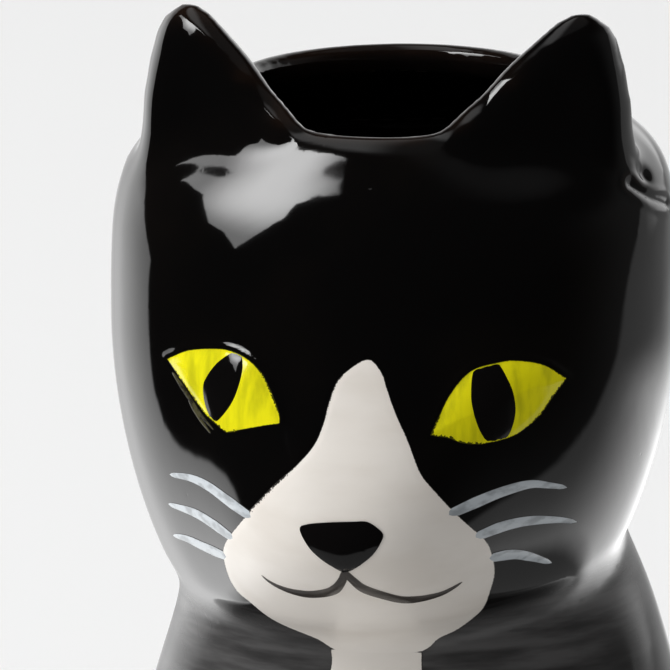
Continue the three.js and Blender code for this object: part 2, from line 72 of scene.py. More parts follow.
# %% Sizes of the castings
MM = 0.001
WALL = 5
BODY_WIDTH, BODY_FRONT, BODY_BACK = 108, 45, 56
BODY_SWELL_HEIGHT, FOOT_WIDTH = 34, 96
HAUNCH_SWELL, HAUNCH_HEIGHT, HAUNCH_LENGTH, HAUNCH_SPAN = 5, 31, 46, 22
CHEST_SWELL, CHEST_HEIGHT, CHEST_SPAN, CHEST_BREADTH = 6, 80, 20, 22
BACK_SWELL, SHOULDER_SHIFT = 6, 1.4
NECK_HEIGHT, NECK_WIDTH, NECK_BLEND = 115.7, 74, 42
NECK_TILT, NECK_LEAN = math.radians(18), math.radians(3.8)
HEAD_WIDTH, HEAD_FACE, HEAD_BACK = 94.3, 32, 47.8
CHEEK_HEIGHT, HEAD_FORWARD = 43, 5.5
RIM_HEIGHT, RIM_WIDTH, RIM_FRONT, RIM_DIP = 82.4, 54, 24.5, 6.8
MUZZLE_REACH, MUZZLE_WIDTH, MUZZLE_HEIGHT = 15, 48, 14
MUZZLE_ABOVE, MUZZLE_BELOW, CHIN_TUCK = 22.5, 18, 8

# %% [markdown]
# ## Curves
# A mould maker starts from profiles and outlines drawn on paper. Here they are short lists of points with
# a soft curve through them. Blender's curve objects could draw them too, but an array of points can also
# be moved inwards by the thickness of the wall, measured, and spaced evenly.

# %% Curves that draw the profiles


def smoothstep(value, low, high):
    t = np.clip((value - low) / (high - low), 0, 1)
    return t * t * (3 - 2 * t)


def lerp(a, b, t):
    return a + (b - a) * t


def bezier(points, steps):
    """Points along a Bezier curve, by blending its control points pair by pair."""
    t = np.linspace(0, 1, steps + 1)[:, None]
    points = [np.array(p, float)[None, :] for p in points]
    while len(points) > 1:
        points = [(1 - t) * a + t * b for a, b in zip(points, points[1:])]
    return points[0]


def through(points, steps, closed=False):
    """A soft line through points, with steps points to each stretch."""
    points = [np.array(p, float) for p in points]
    count = len(points)
    line = []
    for i in range(count if closed else count - 1):
        a, b = points[i], points[(i + 1) % count]
        before = points[i - 1] if closed or i else 2 * a - b
        after = points[(i + 2) % count] if closed or i + 2 < count else 2 * b - a
        for s in np.arange(steps) / steps:
            bend = (2 * before - 5 * a + 4 * b - after) * s**2 + (3 * a - before - 3 * b + after) * s**3
            line.append(a + 0.5 * ((b - before) * s + bend))
    if not closed:
        line.append(points[-1])
    return np.array(line)


def offset_profile(profile, distance):
    """The profile moved outwards, square to its own curve."""
    along = np.gradient(profile, axis=0)
    along /= np.linalg.norm(along, axis=1)[:, None]
    return profile + distance * np.stack([along[:, 1], -along[:, 0]], 1)


print("a test curve has", len(through([(0, 0), (1, 1), (2, 0)], 4)), "points")

# %% [markdown]
# ## Turned forms
# Head, body, legs and hollows all start as a circle that is extruded up a profile, ring by ring, as on a
# potter's wheel. A turned form is round, and a cat isn't, so each ring is then pressed to shape by a
# formula. That keeps the surface far smoother than pushing single points by hand, which shows at once in
# a mirror-like glaze.

# %% Turn a form up a profile


def let_go():
    """Leaves nothing selected, so that the next tool acts on the new piece alone."""
    if bpy.context.object and bpy.context.object.mode != "OBJECT":
        bpy.ops.object.mode_set(mode="OBJECT")
    bpy.ops.object.select_all(action="DESELECT")


def edit_all():
    """Goes into edit mode with everything selected."""
    bpy.ops.object.mode_set(mode="EDIT")
    bpy.ops.mesh.select_all(action="SELECT")


SIDES = 128


def turn(name, profile, sides=SIDES):
    """Extrudes a circle up a profile of (radius, height) and closes both ends."""
    let_go()
    radius, height = profile[0]
    bpy.ops.mesh.primitive_circle_add(vertices=sides, radius=radius * MM, location=(0, 0, height * MM))
    form = bpy.context.object
    form.name = name
    bpy.ops.object.transform_apply(location=True, rotation=False, scale=False)
    edit_all()
    for before, after in zip(profile, profile[1:]):
        rise = (0, 0, (after[1] - before[1]) * MM)
        bpy.ops.mesh.extrude_region_move(TRANSFORM_OT_translate={"value": rise})
        ratio = after[0] / before[0]
        bpy.ops.transform.resize(value=(ratio, ratio, 1), center_override=(0, 0, 0))
    bpy.ops.mesh.select_all(action="SELECT")
    bpy.ops.mesh.fill_holes(sides=0)
    bpy.ops.mesh.select_all(action="SELECT")
    bpy.ops.mesh.normals_make_consistent(inside=False)
    bpy.ops.object.mode_set(mode="OBJECT")
    return form


print("the wheel turns forms of", SIDES, "sides")

# %% [markdown]
# ## Pressing to shape
# Clay is pressed by hand while it is wet. Here a shaping function gets all points of a piece as one array
# in millimetres and gives them back moved. That is quick, and the same function can shape the hollow
# inside.

# %% Press a form


def points_of(piece):
    flat = np.empty(3 * len(piece.data.vertices))
    piece.data.vertices.foreach_get("co", flat)
    return flat.reshape(-1, 3) / MM


def normals_of(piece):
    flat = np.empty(3 * len(piece.data.vertices))
    piece.data.vertices.foreach_get("normal", flat)
    return flat.reshape(-1, 3)


def put_points(piece, points):
    piece.data.vertices.foreach_set("co", (points * MM).ravel())
    piece.data.update()


def press(piece, shape, lift=0):
    """Moves every point of a piece by a shaping function in millimetres, then lifts the piece."""
    points = shape(points_of(piece))
    points[:, 2] += lift
    put_points(piece, points)
    return piece


def take_up(piece):
    """Selects one piece alone and makes it the active one."""
    let_go()
    piece.select_set(True)
    bpy.context.view_layer.objects.active = piece


def face_out(piece):
    """Makes all faces of a closed piece point outwards."""
    take_up(piece)
    edit_all()
    bpy.ops.mesh.normals_make_consistent(inside=False)
    bpy.ops.object.mode_set(mode="OBJECT")
    return piece


print("one millimetre is", MM, "of Blender's metres")

# %% [markdown]
# ## Head
# The head is one casting with a flat face, an open crown and a moulded muzzle. It could be sculpted, but
# brush marks would show in the glaze, so a few formulas shape the turned form: the face is flatter than
# the back, the rim dips in front, and the muzzle is a soft hill pushed out of the face.

# %% The shape of the head
FRONT_RATIO = 2 * HEAD_FACE / HEAD_WIDTH
BACK_RATIO = 2 * HEAD_BACK / HEAD_WIDTH
JAW_FULLNESS, CROWN_FULLNESS = 0.5, 0.78
BROW_SLOPE, BROW_HEIGHT = 0.02, 0.66
FOREHEAD_CURVE = 3.2  # how late the forehead turns back to the rim
CROWN_START = 0.6  # share of the dome from which the back grows as round as the rim
FORWARD_CURVE, MUZZLE_SQUARENESS, FACE_EDGE = 0.8, 2.6, 0.6


def head_profile(steps=36):
    cheek = (HEAD_WIDTH / 2, CHEEK_HEIGHT)
    dome = RIM_HEIGHT - CHEEK_HEIGHT
    jaw = bezier([(NECK_WIDTH / 2, 0), (HEAD_WIDTH / 2, JAW_FULLNESS * CHEEK_HEIGHT), cheek], steps)
    fullest = (HEAD_WIDTH / 2, CHEEK_HEIGHT + CROWN_FULLNESS * dome)
    brow = (lerp(HEAD_WIDTH / 2, RIM_WIDTH / 2, BROW_SLOPE), CHEEK_HEIGHT + BROW_HEIGHT * dome)
    crown = bezier([cheek, fullest, brow, (RIM_WIDTH / 2, RIM_HEIGHT)], steps)
    return np.vstack([jaw, crown[1:]])


outside = head_profile()


def seam_drop(p):
    """How far the tilted neck seam lies above or below its middle."""
    return math.tan(NECK_TILT) * p[:, 1] + math.tan(NECK_LEAN) * p[:, 0]


def mould_head(p):
    height = p[:, 2].copy()
    top = smoothstep(height, CHEEK_HEIGHT, RIM_HEIGHT)
    rise = np.clip((height - CHEEK_HEIGHT) / (RIM_HEIGHT - CHEEK_HEIGHT), 0, 1)
    round_reach = np.interp(height, outside[:, 1], outside[:, 0])
    front = lerp(HEAD_FACE, RIM_FRONT, rise**FOREHEAD_CURVE) / round_reach
    front = np.where(height < CHEEK_HEIGHT, FRONT_RATIO, front)
    brow = smoothstep(height, lerp(CHEEK_HEIGHT, RIM_HEIGHT, CROWN_START), RIM_HEIGHT)
    p[:, 1] *= np.where(p[:, 1] < 0, front, lerp(BACK_RATIO, 1, brow))
    frontness = np.maximum(-p[:, 1] / HEAD_FACE, 0)
    p[:, 2] += seam_drop(p) * (1 - smoothstep(height, 0, NECK_BLEND))
    p[:, 2] -= RIM_DIP * np.clip(-2 * p[:, 1] / RIM_WIDTH, 0, 1) * top
    p[:, 1] -= HEAD_FORWARD * np.sin(math.pi * np.clip(height / RIM_HEIGHT, 0, 1) ** FORWARD_CURVE)
    rise = p[:, 2] - MUZZLE_HEIGHT
    fade = np.where(rise > 0, MUZZLE_ABOVE, MUZZLE_BELOW)
    across = np.exp(-np.abs(2 * p[:, 0] / MUZZLE_WIDTH) ** MUZZLE_SQUARENESS)
    upward = np.exp(-((rise / fade) ** 2)) * smoothstep(height, -0.5, CHIN_TUCK)
    p[:, 1] -= MUZZLE_REACH * across * upward * smoothstep(frontness, 0, FACE_EDGE)
    return p


def round_lip(outer, inner, steps=8):
    """A half circle from the outer edge of the wall to its inner edge."""
    middle = (outer + inner) / 2
    reach = outer - middle
    over = np.array([-reach[1], reach[0]])
    turns = np.pi * np.arange(1, steps) / steps
    return np.array([middle + (reach * math.cos(a) + over * math.sin(a)) for a in turns])


inside = offset_profile(outside, -WALL)
lip = round_lip(outside[-1], inside[-1])
head_block = press(turn("head_block", np.vstack([outside, lip])), mould_head, NECK_HEIGHT)
print("head block:", len(head_block.data.vertices), "points")

# %% [markdown]
# ## Body
# The body is the second casting: a pear that is wider at the haunches, fuller at the chest and round at
# the back. It is turned and pressed like the head, and its neck ends on the same tilted seam, so the two
# fit.

# %% The shape of the body
FLANK_FULLNESS, BACK_FULLNESS = 0.4, 0.36
SHOULDER_SLOPE, SHOULDER_HEIGHT = 0.52, 0.74


def mould_body(p):
    height = p[:, 2].copy()
    rise = smoothstep(height, BODY_SWELL_HEIGHT, NECK_HEIGHT)
    front = lerp(2 * BODY_FRONT / BODY_WIDTH, FRONT_RATIO, rise)
    back = lerp(2 * BODY_BACK / BODY_WIDTH, BACK_RATIO, rise)
    p[:, 1] *= np.where(p[:, 1] < 0, front, back)
    frontness = np.clip(-p[:, 1] / BODY_FRONT, 0, 1)
    sideness = np.clip(2 * np.abs(p[:, 0]) / BODY_WIDTH, 0, 1)
    chest = np.exp(-(((height - CHEST_HEIGHT) / CHEST_SPAN) ** 2) - (p[:, 0] / CHEST_BREADTH) ** 2)
    thigh = np.exp(-(((height - HAUNCH_HEIGHT) / HAUNCH_SPAN) ** 2) - (2 * p[:, 1] / HAUNCH_LENGTH) ** 2)
    p[:, 1] -= CHEST_SWELL * chest * frontness
    p[:, 1] += BACK_SWELL * np.sin(math.pi * rise) * np.clip(p[:, 1] / BODY_BACK, 0, 1)
    p[:, 0] += np.sign(p[:, 0]) * HAUNCH_SWELL * thigh * smoothstep(height, 0, HAUNCH_HEIGHT) * sideness
    p[:, 2] += seam_drop(p) * smoothstep(height, NECK_HEIGHT - NECK_BLEND, NECK_HEIGHT)
    p[:, 0] += SHOULDER_SHIFT * np.sin(math.pi * np.clip(height / NECK_HEIGHT, 0, 1) ** 3)
    return p


def body_profile(steps=36):
    swell = (BODY_WIDTH / 2, BODY_SWELL_HEIGHT)
    back = NECK_HEIGHT - BODY_SWELL_HEIGHT
    low = (BODY_WIDTH / 2, FLANK_FULLNESS * BODY_SWELL_HEIGHT)
    flank = bezier([(FOOT_WIDTH / 2, 0), low, swell], steps)
    full = (BODY_WIDTH / 2, BODY_SWELL_HEIGHT + BACK_FULLNESS * back)
    slope_width = lerp(BODY_WIDTH / 2, NECK_WIDTH / 2, SHOULDER_SLOPE)
    slope = (slope_width, BODY_SWELL_HEIGHT + SHOULDER_HEIGHT * back)
    shoulder = bezier([swell, full, slope, (NECK_WIDTH / 2, NECK_HEIGHT)], steps)
    return np.vstack([flank, shoulder[1:]])


OVERLAP = 2  # the neck reaches this far into the head, so that the two join
neck_end = [(NECK_WIDTH / 2 - 1, NECK_HEIGHT + OVERLAP)]
body_block = press(turn("body_block", np.vstack([body_profile(), neck_end])), mould_body)
print("body block:", len(body_block.data.vertices), "points")

# %% [markdown]
# ## Ears
# Each ear is a rounded slab with a shallow scoop in front, pressed onto the crown and smoothed over with
# a wet finger. A ring of points is bent to the outline seen in front; smaller rings extruded from it make
# the rounded edge, the scooped front and the back. The second ear is a mirror image. Both are made a
# little too large, because smoothing takes some off again.

# %% Press an ear
EAR_OUTLINE = [(11.6, 77), (15.1, 80.2), (18.4, 83.5), (21, 86.7), (26.4, 91.4), (29.2, 93.8), (32.6, 95),
               (35.6, 93.6), (37.7, 91.2), (39.7, 83.8), (40.7, 76), (41.2, 66)]
EAR_ROOT = (26, 52)
EAR_MIDDLE = (30, 77)
EAR_THICKNESS, EAR_EDGE, EAR_SCOOP, EAR_SPARE = 8.6, 5.5, 1.2, 1.065
EAR_REACH = 15  # mean distance from the middle of an ear to its outline
EAR_ROUNDING = np.radians([22, 45, 67, 90])
EAR_TURN, EAR_LEAN, EAR_PLACE = math.radians(22), math.radians(8), -18


def evenly(line, count):
    """The same closed line with its points at even distances."""
    loop = np.vstack([line, line[:1]])
    lengths = np.concatenate([[0], np.cumsum(np.linalg.norm(np.diff(loop, axis=0), axis=1))])
    marks = np.linspace(0, lengths[-1], count, endpoint=False)
    return np.stack([np.interp(marks, lengths, loop[:, k]) for k in range(loop.shape[1])], 1)


def ring_of(name, outline):
    """A circle whose points are bent to an outline of (x, height), standing upright."""
    let_go()
    bpy.ops.mesh.primitive_circle_add(vertices=len(outline), radius=MM)
    ring = bpy.context.object
    ring.name = name
    put_points(ring, np.stack([outline[:, 0], np.zeros(len(outline)), outline[:, 1]], 1))
    return ring


def draw_in(sizes, depths, middle):
    """Extrudes the selected ring through smaller and smaller rings, then closes it in the middle."""
    size, depth = 1, 0
    centre = (middle[0] * MM, 0, middle[1] * MM)
    for next_size, next_depth in zip(sizes, depths):
        step = (0, (next_depth - depth) * MM, 0)
        bpy.ops.mesh.extrude_region_move(TRANSFORM_OT_translate={"value": step})
        ratio = next_size / size
        bpy.ops.transform.resize(value=(ratio, 1, ratio), center_override=centre)
        size, depth = next_size, next_depth
    bpy.ops.mesh.merge(type="CENTER")


def place_ear(p):
    p[:, 1] += EAR_PLACE + math.tan(EAR_TURN) * (p[:, 0] - RIM_WIDTH / 4)
    p[:, 1] += math.tan(EAR_LEAN) * (p[:, 2] - RIM_HEIGHT)
    return p


def mirrored(p):
    p[:, 0] *= -1
    return p


def press_ear(name):
    outline = np.vstack([[EAR_ROOT], through(EAR_OUTLINE, 6)])
    outline = np.array(EAR_MIDDLE) + EAR_SPARE * (outline - np.array(EAR_MIDDLE))
    ear = ring_of(name, evenly(outline, 96))
    edit_all()
    edge = 1 - EAR_EDGE * (1 - np.cos(EAR_ROUNDING)) / EAR_REACH
    inner = np.linspace(edge[-1], 0.04, 9)[1:]
    sizes = np.concatenate([edge, inner])
    half = EAR_THICKNESS / 2
    scoop = EAR_SCOOP * (1 - (inner / edge[-1]) ** 2)
    draw_in(sizes, np.concatenate([-half * np.sin(EAR_ROUNDING), -half + scoop]), EAR_MIDDLE)
    bpy.ops.mesh.select_all(action="DESELECT")
    bpy.ops.mesh.select_mode(type="EDGE")
    bpy.ops.mesh.select_non_manifold()
    back = np.concatenate([half * np.sin(EAR_ROUNDING), np.full(len(inner), half)])
    draw_in(sizes, back, EAR_MIDDLE)
    bpy.ops.object.mode_set(mode="OBJECT")
    return ear


left_ear = face_out(press(press_ear("left_ear_block"), place_ear, NECK_HEIGHT))
right_ear = press(press_ear("right_ear_block"), lambda p: mirrored(place_ear(p)), NECK_HEIGHT)
face_out(right_ear)
print("ear:", len(left_ear.data.vertices), "points")

# %% [markdown]
# ## Legs and tail
# The forelegs are slim turned forms that lean back to the shoulders, and the tail lies round the cat's
# left side on the table. A curve with a bevel could make the tail, but turned straight and then bent
# along its run it keeps an even mesh and a tip that tapers.

# %% Turn the legs and bend the tail
LEG_WIDTH, LEG_HEIGHT, LEG_SPREAD, LEG_PLACE = 23, 80, 27, -41
LEG_LEAN = math.radians(5)
LEG_SHAPE = [(0.84, 0), (0.88, 0.3), (1, 0.62), (0.84, 0.86), (0.4, 0.97), (0.02, 1)]
TAIL_WIDTH, TAIL_TIP_WIDTH, TAIL_ROOT_HEIGHT = 17, 12, 30
TAIL_START, TAIL_END, TAIL_STRETCHES = math.radians(84), math.radians(-15), 6
TAIL_BESIDE = 0.55 * TAIL_WIDTH  # from the foot of the body to the middle of the tail
TAIL_ROOT_IN, TAIL_TIP_START, TAIL_CLEAR = 0.72, 0.9, 0.3


def leg_profile():
    half = LEG_WIDTH / 2
    return through([(half * r, LEG_HEIGHT * h) for r, h in LEG_SHAPE], 8)


def place_leg(p):
    p[:, 0] += LEG_SPREAD / 2
    p[:, 1] += LEG_PLACE + math.tan(LEG_LEAN) * p[:, 2]
    return p


def tail_run():
    ratio = FOOT_WIDTH / BODY_WIDTH
    run = []
    for i in range(TAIL_STRETCHES + 1):
        share = i / TAIL_STRETCHES
        angle = lerp(TAIL_START, TAIL_END, share)
        reach = (BODY_BACK if math.sin(angle) > 0 else BODY_FRONT) * ratio + TAIL_BESIDE
        rest = lerp(TAIL_WIDTH, TAIL_TIP_WIDTH, share) / 2 + TAIL_CLEAR
        height = lerp(TAIL_ROOT_HEIGHT, rest, float(smoothstep(i, 0, 2.5)))
        point = np.array([(FOOT_WIDTH / 2 + TAIL_BESIDE) * math.cos(angle), reach * math.sin(angle), 0])
        run.append(point * (1 if i else TAIL_ROOT_IN) + np.array([0, 0, height]))
    return through(run, 16)


def bend_along(p, run):
    """Bends a straight form, turned about +Z from height 0 to 1, along a run of points."""
    place = np.clip(p[:, 2], 0, 1) * (len(run) - 1)
    marks = np.arange(len(run))
    ahead = np.gradient(run, axis=0)
    at = np.stack([np.interp(place, marks, run[:, k]) for k in range(3)], 1)
    ahead = np.stack([np.interp(place, marks, ahead[:, k]) for k in range(3)], 1)
    ahead /= np.linalg.norm(ahead, axis=1)[:, None]
    side = np.stack([-ahead[:, 1], ahead[:, 0], np.zeros(len(p))], 1)
    side /= np.linalg.norm(side, axis=1)[:, None]
    return at + side * p[:, :1] + np.cross(ahead, side) * p[:, 1:2]


def tail_profile(steps=72):
    t = np.linspace(0, 1, steps + 1)
    past = np.clip((t - TAIL_TIP_START) / 0.1, 0, 1)
    tip = np.sqrt(np.maximum(1 - past**2, 1e-4))
    return np.stack([lerp(TAIL_WIDTH, TAIL_TIP_WIDTH, t) / 2 * tip, t], 1)


left_leg = press(turn("left_leg_block", leg_profile(), 64), place_leg)
right_leg = press(turn("right_leg_block", leg_profile(), 64), lambda p: mirrored(place_leg(p)))
face_out(right_leg)
run = tail_run()
tail_block = face_out(press(turn("tail_block", tail_profile(), 40), lambda p: bend_along(p, run)))
print("tail length:", round(float(np.linalg.norm(np.diff(run, axis=0), axis=1).sum())), "mm")

# %% [markdown]
# ## One smooth skin
# Slip fills every joint before firing and glaze rounds every edge, so ears, head, neck, legs and tail
# flow into each other. A bevel can't follow such joints, so the blocks are joined and hollowed with
# Boolean modifiers, and a voxel remesh gives the joints an even skin. At the end the skin is cut at the
# seam again.

# %% Join and hollow the blocks
MOUTH_SPARE = 40  # the hollow of the head goes on this far over the rim, to cut the mouth open


def combine(target, tool, operation):
    """Joins, cuts or intersects two closed pieces and removes the tool."""
    take_up(target)
    step = target.modifiers.new(operation.lower(), "BOOLEAN")
    step.operation = operation
    step.solver = "MANIFOLD"
    step.object = tool
    bpy.ops.object.modifier_apply(modifier=step.name)
    bpy.data.objects.remove(tool, do_unlink=True)
    return target


def tree_of(piece):
    """A search tree over the faces of a piece, to measure distances from it."""
    faces = [tuple(face.vertices) for face in piece.data.polygons]
    return BVHTree.FromPolygons(points_of(piece).tolist(), faces)


head_tree = tree_of(head_block)
ear_trees = [tree_of(left_ear), tree_of(right_ear)]
casting = head_block
casting.name = "casting"
for block in (left_ear, right_ear, body_block, left_leg, right_leg, tail_block):
    combine(casting, block, "UNION")

mouth_up = [(inside[-1][0], RIM_HEIGHT + MOUTH_SPARE)]
neck_down = [(inside[0][0], -OVERLAP)]
head_hollow = turn("head_hollow", np.vstack([neck_down, inside[1:], mouth_up]), 96)
combine(casting, press(head_hollow, mould_head, NECK_HEIGHT), "DIFFERENCE")
body_inside = offset_profile(body_profile(), -WALL)
body_inside = body_inside[body_inside[:, 1] > 2 * WALL]
floor_edge = [(body_inside[0][0] - WALL, WALL)]
neck_up = [(body_inside[-1][0], NECK_HEIGHT + OVERLAP)]
body_hollow = turn("body_hollow", np.vstack([floor_edge, body_inside[:-1], neck_up]), 96)
combine(casting, press(body_hollow, mould_body), "DIFFERENCE")
print("joined casting:", len(casting.data.polygons), "faces")

# %% Even out and smooth the skin
SKIN_STEP, SKIN_ROUNDS = 1.1, 12  # mesh size of the skin, and how often it is smoothed


def finish_with(piece, kind, **settings):
    """Adds a modifier with its settings and applies it."""
    take_up(piece)
    step = piece.modifiers.new(kind.lower(), kind)
    for key, value in settings.items():
        setattr(step, key, value)
    bpy.ops.object.modifier_apply(modifier=step.name)
    return piece


finish_with(casting, "REMESH", mode="VOXEL", voxel_size=SKIN_STEP * MM, adaptivity=0)
finish_with(casting, "SMOOTH", factor=0.5, iterations=SKIN_ROUNDS)
print("smooth casting:", len(casting.data.polygons), "faces")

# %% [markdown]
# ## Sponge and thumb
# The potter goes over the neck with a wet sponge and over the ears' roots with a thumb, so these places
# are much softer than the rest. A Smooth modifier works there by a vertex group, whose shares come from
# distances to the seam and to the blocks. Sculpting would do it too, but not the same way each time.

# %% Smooth the neck and the ears
NECK_SOFT_OVER, NECK_SOFT_UNDER, NECK_ROUNDS = 9, 17, 107  # how far the sponge went from the seam
ROOT_SOFT, ROOT_ROUNDS, EAR_ROUNDS = 8, 58, 21  # how far the thumb went over the front of a root
CROWN_HALF, ROOT_HALF, TIP_HALF = 14, 22, 19  # the sides of the crown, from the middle
ROOTS_OVER_SEAM, EARS_OVER_SEAM = 40, 70


def soften(name, shares, rounds):
    """Smooths the casting by a share given for each point."""
    zone = casting.vertex_groups.new(name=name)
    for i in np.where(shares > 0.01)[0]:
        zone.add([int(i)], float(shares[i]), "REPLACE")
    finish_with(casting, "SMOOTH", factor=0.5, iterations=rounds, vertex_group=name)
    return int((shares > 0.01).sum())


def distance_to(tree, spots):
    return np.array([tree.find_nearest(Vector(spot))[3] for spot in spots])


def height_over_seam(points):
    return points[:, 2] - NECK_HEIGHT - seam_drop(points)


def neck_shares():
    from_seam = height_over_seam(points_of(casting))
    reach = np.where(from_seam > 0, NECK_SOFT_OVER, NECK_SOFT_UNDER)
    return 1 - smoothstep(np.abs(from_seam) / reach, 0.3, 1)


def root_shares():
    points, normals = points_of(casting), normals_of(casting)
    beside = np.abs(points[:, 0])
    high = points[:, 2] > NECK_HEIGHT + ROOTS_OVER_SEAM
    near = np.where(high & (normals[:, 1] < 0.1) & (beside > CROWN_HALF))[0]
    from_ear = np.minimum(*[distance_to(tree, points[near]) for tree in ear_trees])
    from_root = np.maximum(from_ear, distance_to(head_tree, points[near]))
    thumb = smoothstep(-normals[near, 1], -0.1, 0.3) * smoothstep(beside[near], CROWN_HALF, ROOT_HALF)
    shares = np.zeros(len(points))
    shares[near] = (1 - smoothstep(from_root, 0.3 * ROOT_SOFT, ROOT_SOFT)) * thumb
    return shares


def ear_shares():
    points = points_of(casting)
    beside = np.abs(points[:, 0])
    near = np.where((points[:, 2] > NECK_HEIGHT + EARS_OVER_SEAM) & (beside > CROWN_HALF))[0]
    free = smoothstep(distance_to(head_tree, points[near]), 1.5, 4)
    shares = np.zeros(len(points))
    shares[near] = free * smoothstep(beside[near], CROWN_HALF, TIP_HALF)
    return shares


print("points softened at the neck:", soften("neck", neck_shares(), NECK_ROUNDS))
print("points softened at the ears' roots:", soften("ear_roots", root_shares(), ROOT_ROUNDS))
print("points softened at the ears:", soften("ears", ear_shares(), EAR_ROUNDS))

# %% [markdown]
# ## Raised eyes
# The eyes bulge like flat lenses under a thin lid, so that the glaze over them catches light along the
# upper edge. The outlines are drawn as the painter drew them, each side by hand, so the two eyes aren't
# mirror images. The skin around them is subdivided first, then lifted by a measured distance from the
# outline, which no brush does as evenly.

# %% Draw the eyes
LEFT_EYE = [(13.4, 32.6), (14.2, 34.6), (15.4, 37.6), (17.4, 40.6), (19.6, 42.3), (22.9, 43), (25.6, 43.1),
            (29.7, 42), (33.1, 39.3), (31.3, 36.9), (29.4, 34.1), (27.8, 32.5), (25.5, 31), (21.9, 30.4),
            (18.4, 30.9), (16, 32)]
LEFT_EYE_CORNERS = (0, 8)
RIGHT_EYE = [(-32.8, 40.2), (-29, 42.3), (-25.2, 43.3), (-21.5, 43.7), (-18.2, 43), (-15.5, 41.3),
             (-13.4, 38.5), (-11.5, 34.9), (-11.3, 33.6), (-14.2, 32.9), (-21.1, 30.7), (-23.3, 31.7),
             (-25.5, 33), (-28.6, 36), (-31.1, 38.5)]
RIGHT_EYE_CORNERS = (0, 8, 10)


def drawn(points, corners, count):
    """A closed drawn outline: soft lines that meet at corners, with points at even distances."""
    if not corners:
        return evenly(through(points, 12, closed=True), count)
    line = []
    for start, end in zip(corners, [*corners[1:], corners[0] + len(points)]):
        stretch = [points[i % len(points)] for i in range(start, end + 1)]
        line.extend(through(stretch, 12)[:-1])
    return evenly(np.array(line), count)


def inside_distance(spots, outline):
    """How far spots lie inside an outline; negative outside."""
    a, b = outline, np.roll(outline, -1, axis=0)
    edge = b - a
    rel = spots[:, None, :] - a[None]
    t = np.clip((rel * edge).sum(2) / (edge**2).sum(1), 0, 1)
    distance = np.linalg.norm(rel - t[..., None] * edge, axis=2).min(1)
    above = (a[None, :, 1] > spots[:, None, 1]) != (b[None, :, 1] > spots[:, None, 1])
    crossing = a[:, 0] + rel[..., 1] * edge[:, 0] / np.where(edge[:, 1] == 0, 1e-9, edge[:, 1])
    odd = (above & (spots[:, None, 0] < crossing)).sum(1) % 2 == 1
    return np.where(odd, distance, -distance)


left_eye_line = drawn(LEFT_EYE, LEFT_EYE_CORNERS, 120)
right_eye_line = drawn(RIGHT_EYE, RIGHT_EYE_CORNERS, 120)
print("points in an eye's outline:", len(left_eye_line))

# %% Lift the skin under the eyes
EYE_BULGE, EYE_ROUND_OVER, EYE_ROUND_UNDER, EYE_MARGIN = 1.0, 5, 10, 4
LID_START, LID_PEAK, LID_WIDTH = -0.3, 0.45, 1.4
LEFT_LID, RIGHT_LID = 0.2, 0.36


def eye_zone(outline):
    """The points of the front skin in and around an eye, and where they lie in the outline's plane."""
    points, normals = points_of(casting), normals_of(casting)
    spots = points[:, [0, 2]] - np.array([0, NECK_HEIGHT])
    low, high = outline.min(0) - EYE_MARGIN, outline.max(0) + EYE_MARGIN
    return np.where((normals[:, 1] < -0.1) & (spots > low).all(1) & (spots < high).all(1))[0], spots


def refine(zone):
    """Subdivides the faces of a zone of the casting and smooths them."""
    take_up(casting)
    bpy.ops.object.mode_set(mode="EDIT")
    bpy.ops.mesh.select_mode(type="VERT")
    bpy.ops.mesh.select_all(action="DESELECT")
    bpy.ops.object.mode_set(mode="OBJECT")
    chosen = np.zeros(len(casting.data.vertices), bool)
    chosen[zone] = True
    casting.data.vertices.foreach_set("select", chosen)
    bpy.ops.object.mode_set(mode="EDIT")
    bpy.ops.mesh.subdivide(number_cuts=2, smoothness=1)
    bpy.ops.mesh.vertices_smooth(factor=0.5, repeat=6)
    bpy.ops.object.mode_set(mode="OBJECT")


def lift_skin(zone, lift):
    """Moves a zone of the casting along its normals."""
    points = points_of(casting)
    points[zone] += lift[:, None] * normals_of(casting)[zone]
    put_points(casting, points)


def lift_eye(outline, outer, inner, lid):
    """Bulges the skin inside an eye, and raises a lid over the line between its two corners."""
    refine(eye_zone(outline)[0])
    near, spots = eye_zone(outline)
    inside_by = inside_distance(spots[near], outline)
    slope = (outer[1] - inner[1]) / (outer[0] - inner[0])
    over = spots[near, 1] - inner[1] - slope * (spots[near, 0] - inner[0])
    eye_round = lerp(EYE_ROUND_UNDER, EYE_ROUND_OVER, smoothstep(over, -3, 4))
    bulge = EYE_BULGE * (1 - (1 - np.clip(inside_by / eye_round, 0, 1)) ** 2)
    rim = smoothstep(-inside_by, LID_START, LID_PEAK) * (1 - smoothstep(-inside_by, LID_PEAK, LID_WIDTH))
    lift_skin(near, bulge + lid * rim * smoothstep(over, -1, 2.5))
    return len(near)


print("points lifted:", lift_eye(left_eye_line, LEFT_EYE[8], LEFT_EYE[0], LEFT_LID),
      lift_eye(right_eye_line, RIGHT_EYE[0], RIGHT_EYE[8], RIGHT_LID))

# %% [markdown]
# ## A tool mark
# Behind the root of one ear the slip was pressed in with a tool, and the groove and a small dimple
# stayed. Small as they are, they catch light in the glaze, which a bump in the material would not do at
# the outline. The skin is subdivided there and pressed in along its normals, by a depth that falls off
# smoothly from a drawn line.

# %% Press in the groove behind the ear
GROOVE = [(41.4, -12.2, 68), (42.9, -10.8, 66.5), (44.5, -8.8, 65), (46.2, -5, 63.4)]
GROOVE_DEPTH, GROOVE_WIDTH = 0.45, 0.8
DIMPLE, DIMPLE_DEPTH, DIMPLE_WIDTH = (42.8, -8, 68.8), 0.6, 1.6
RIDGE_HEIGHT, RIDGE_AWAY, RIDGE_WIDTH = 0.1, 1.9, 0.7
MARK_MIDDLE, MARK_SPAN = (43, -8, 67), (5, 8, 7)


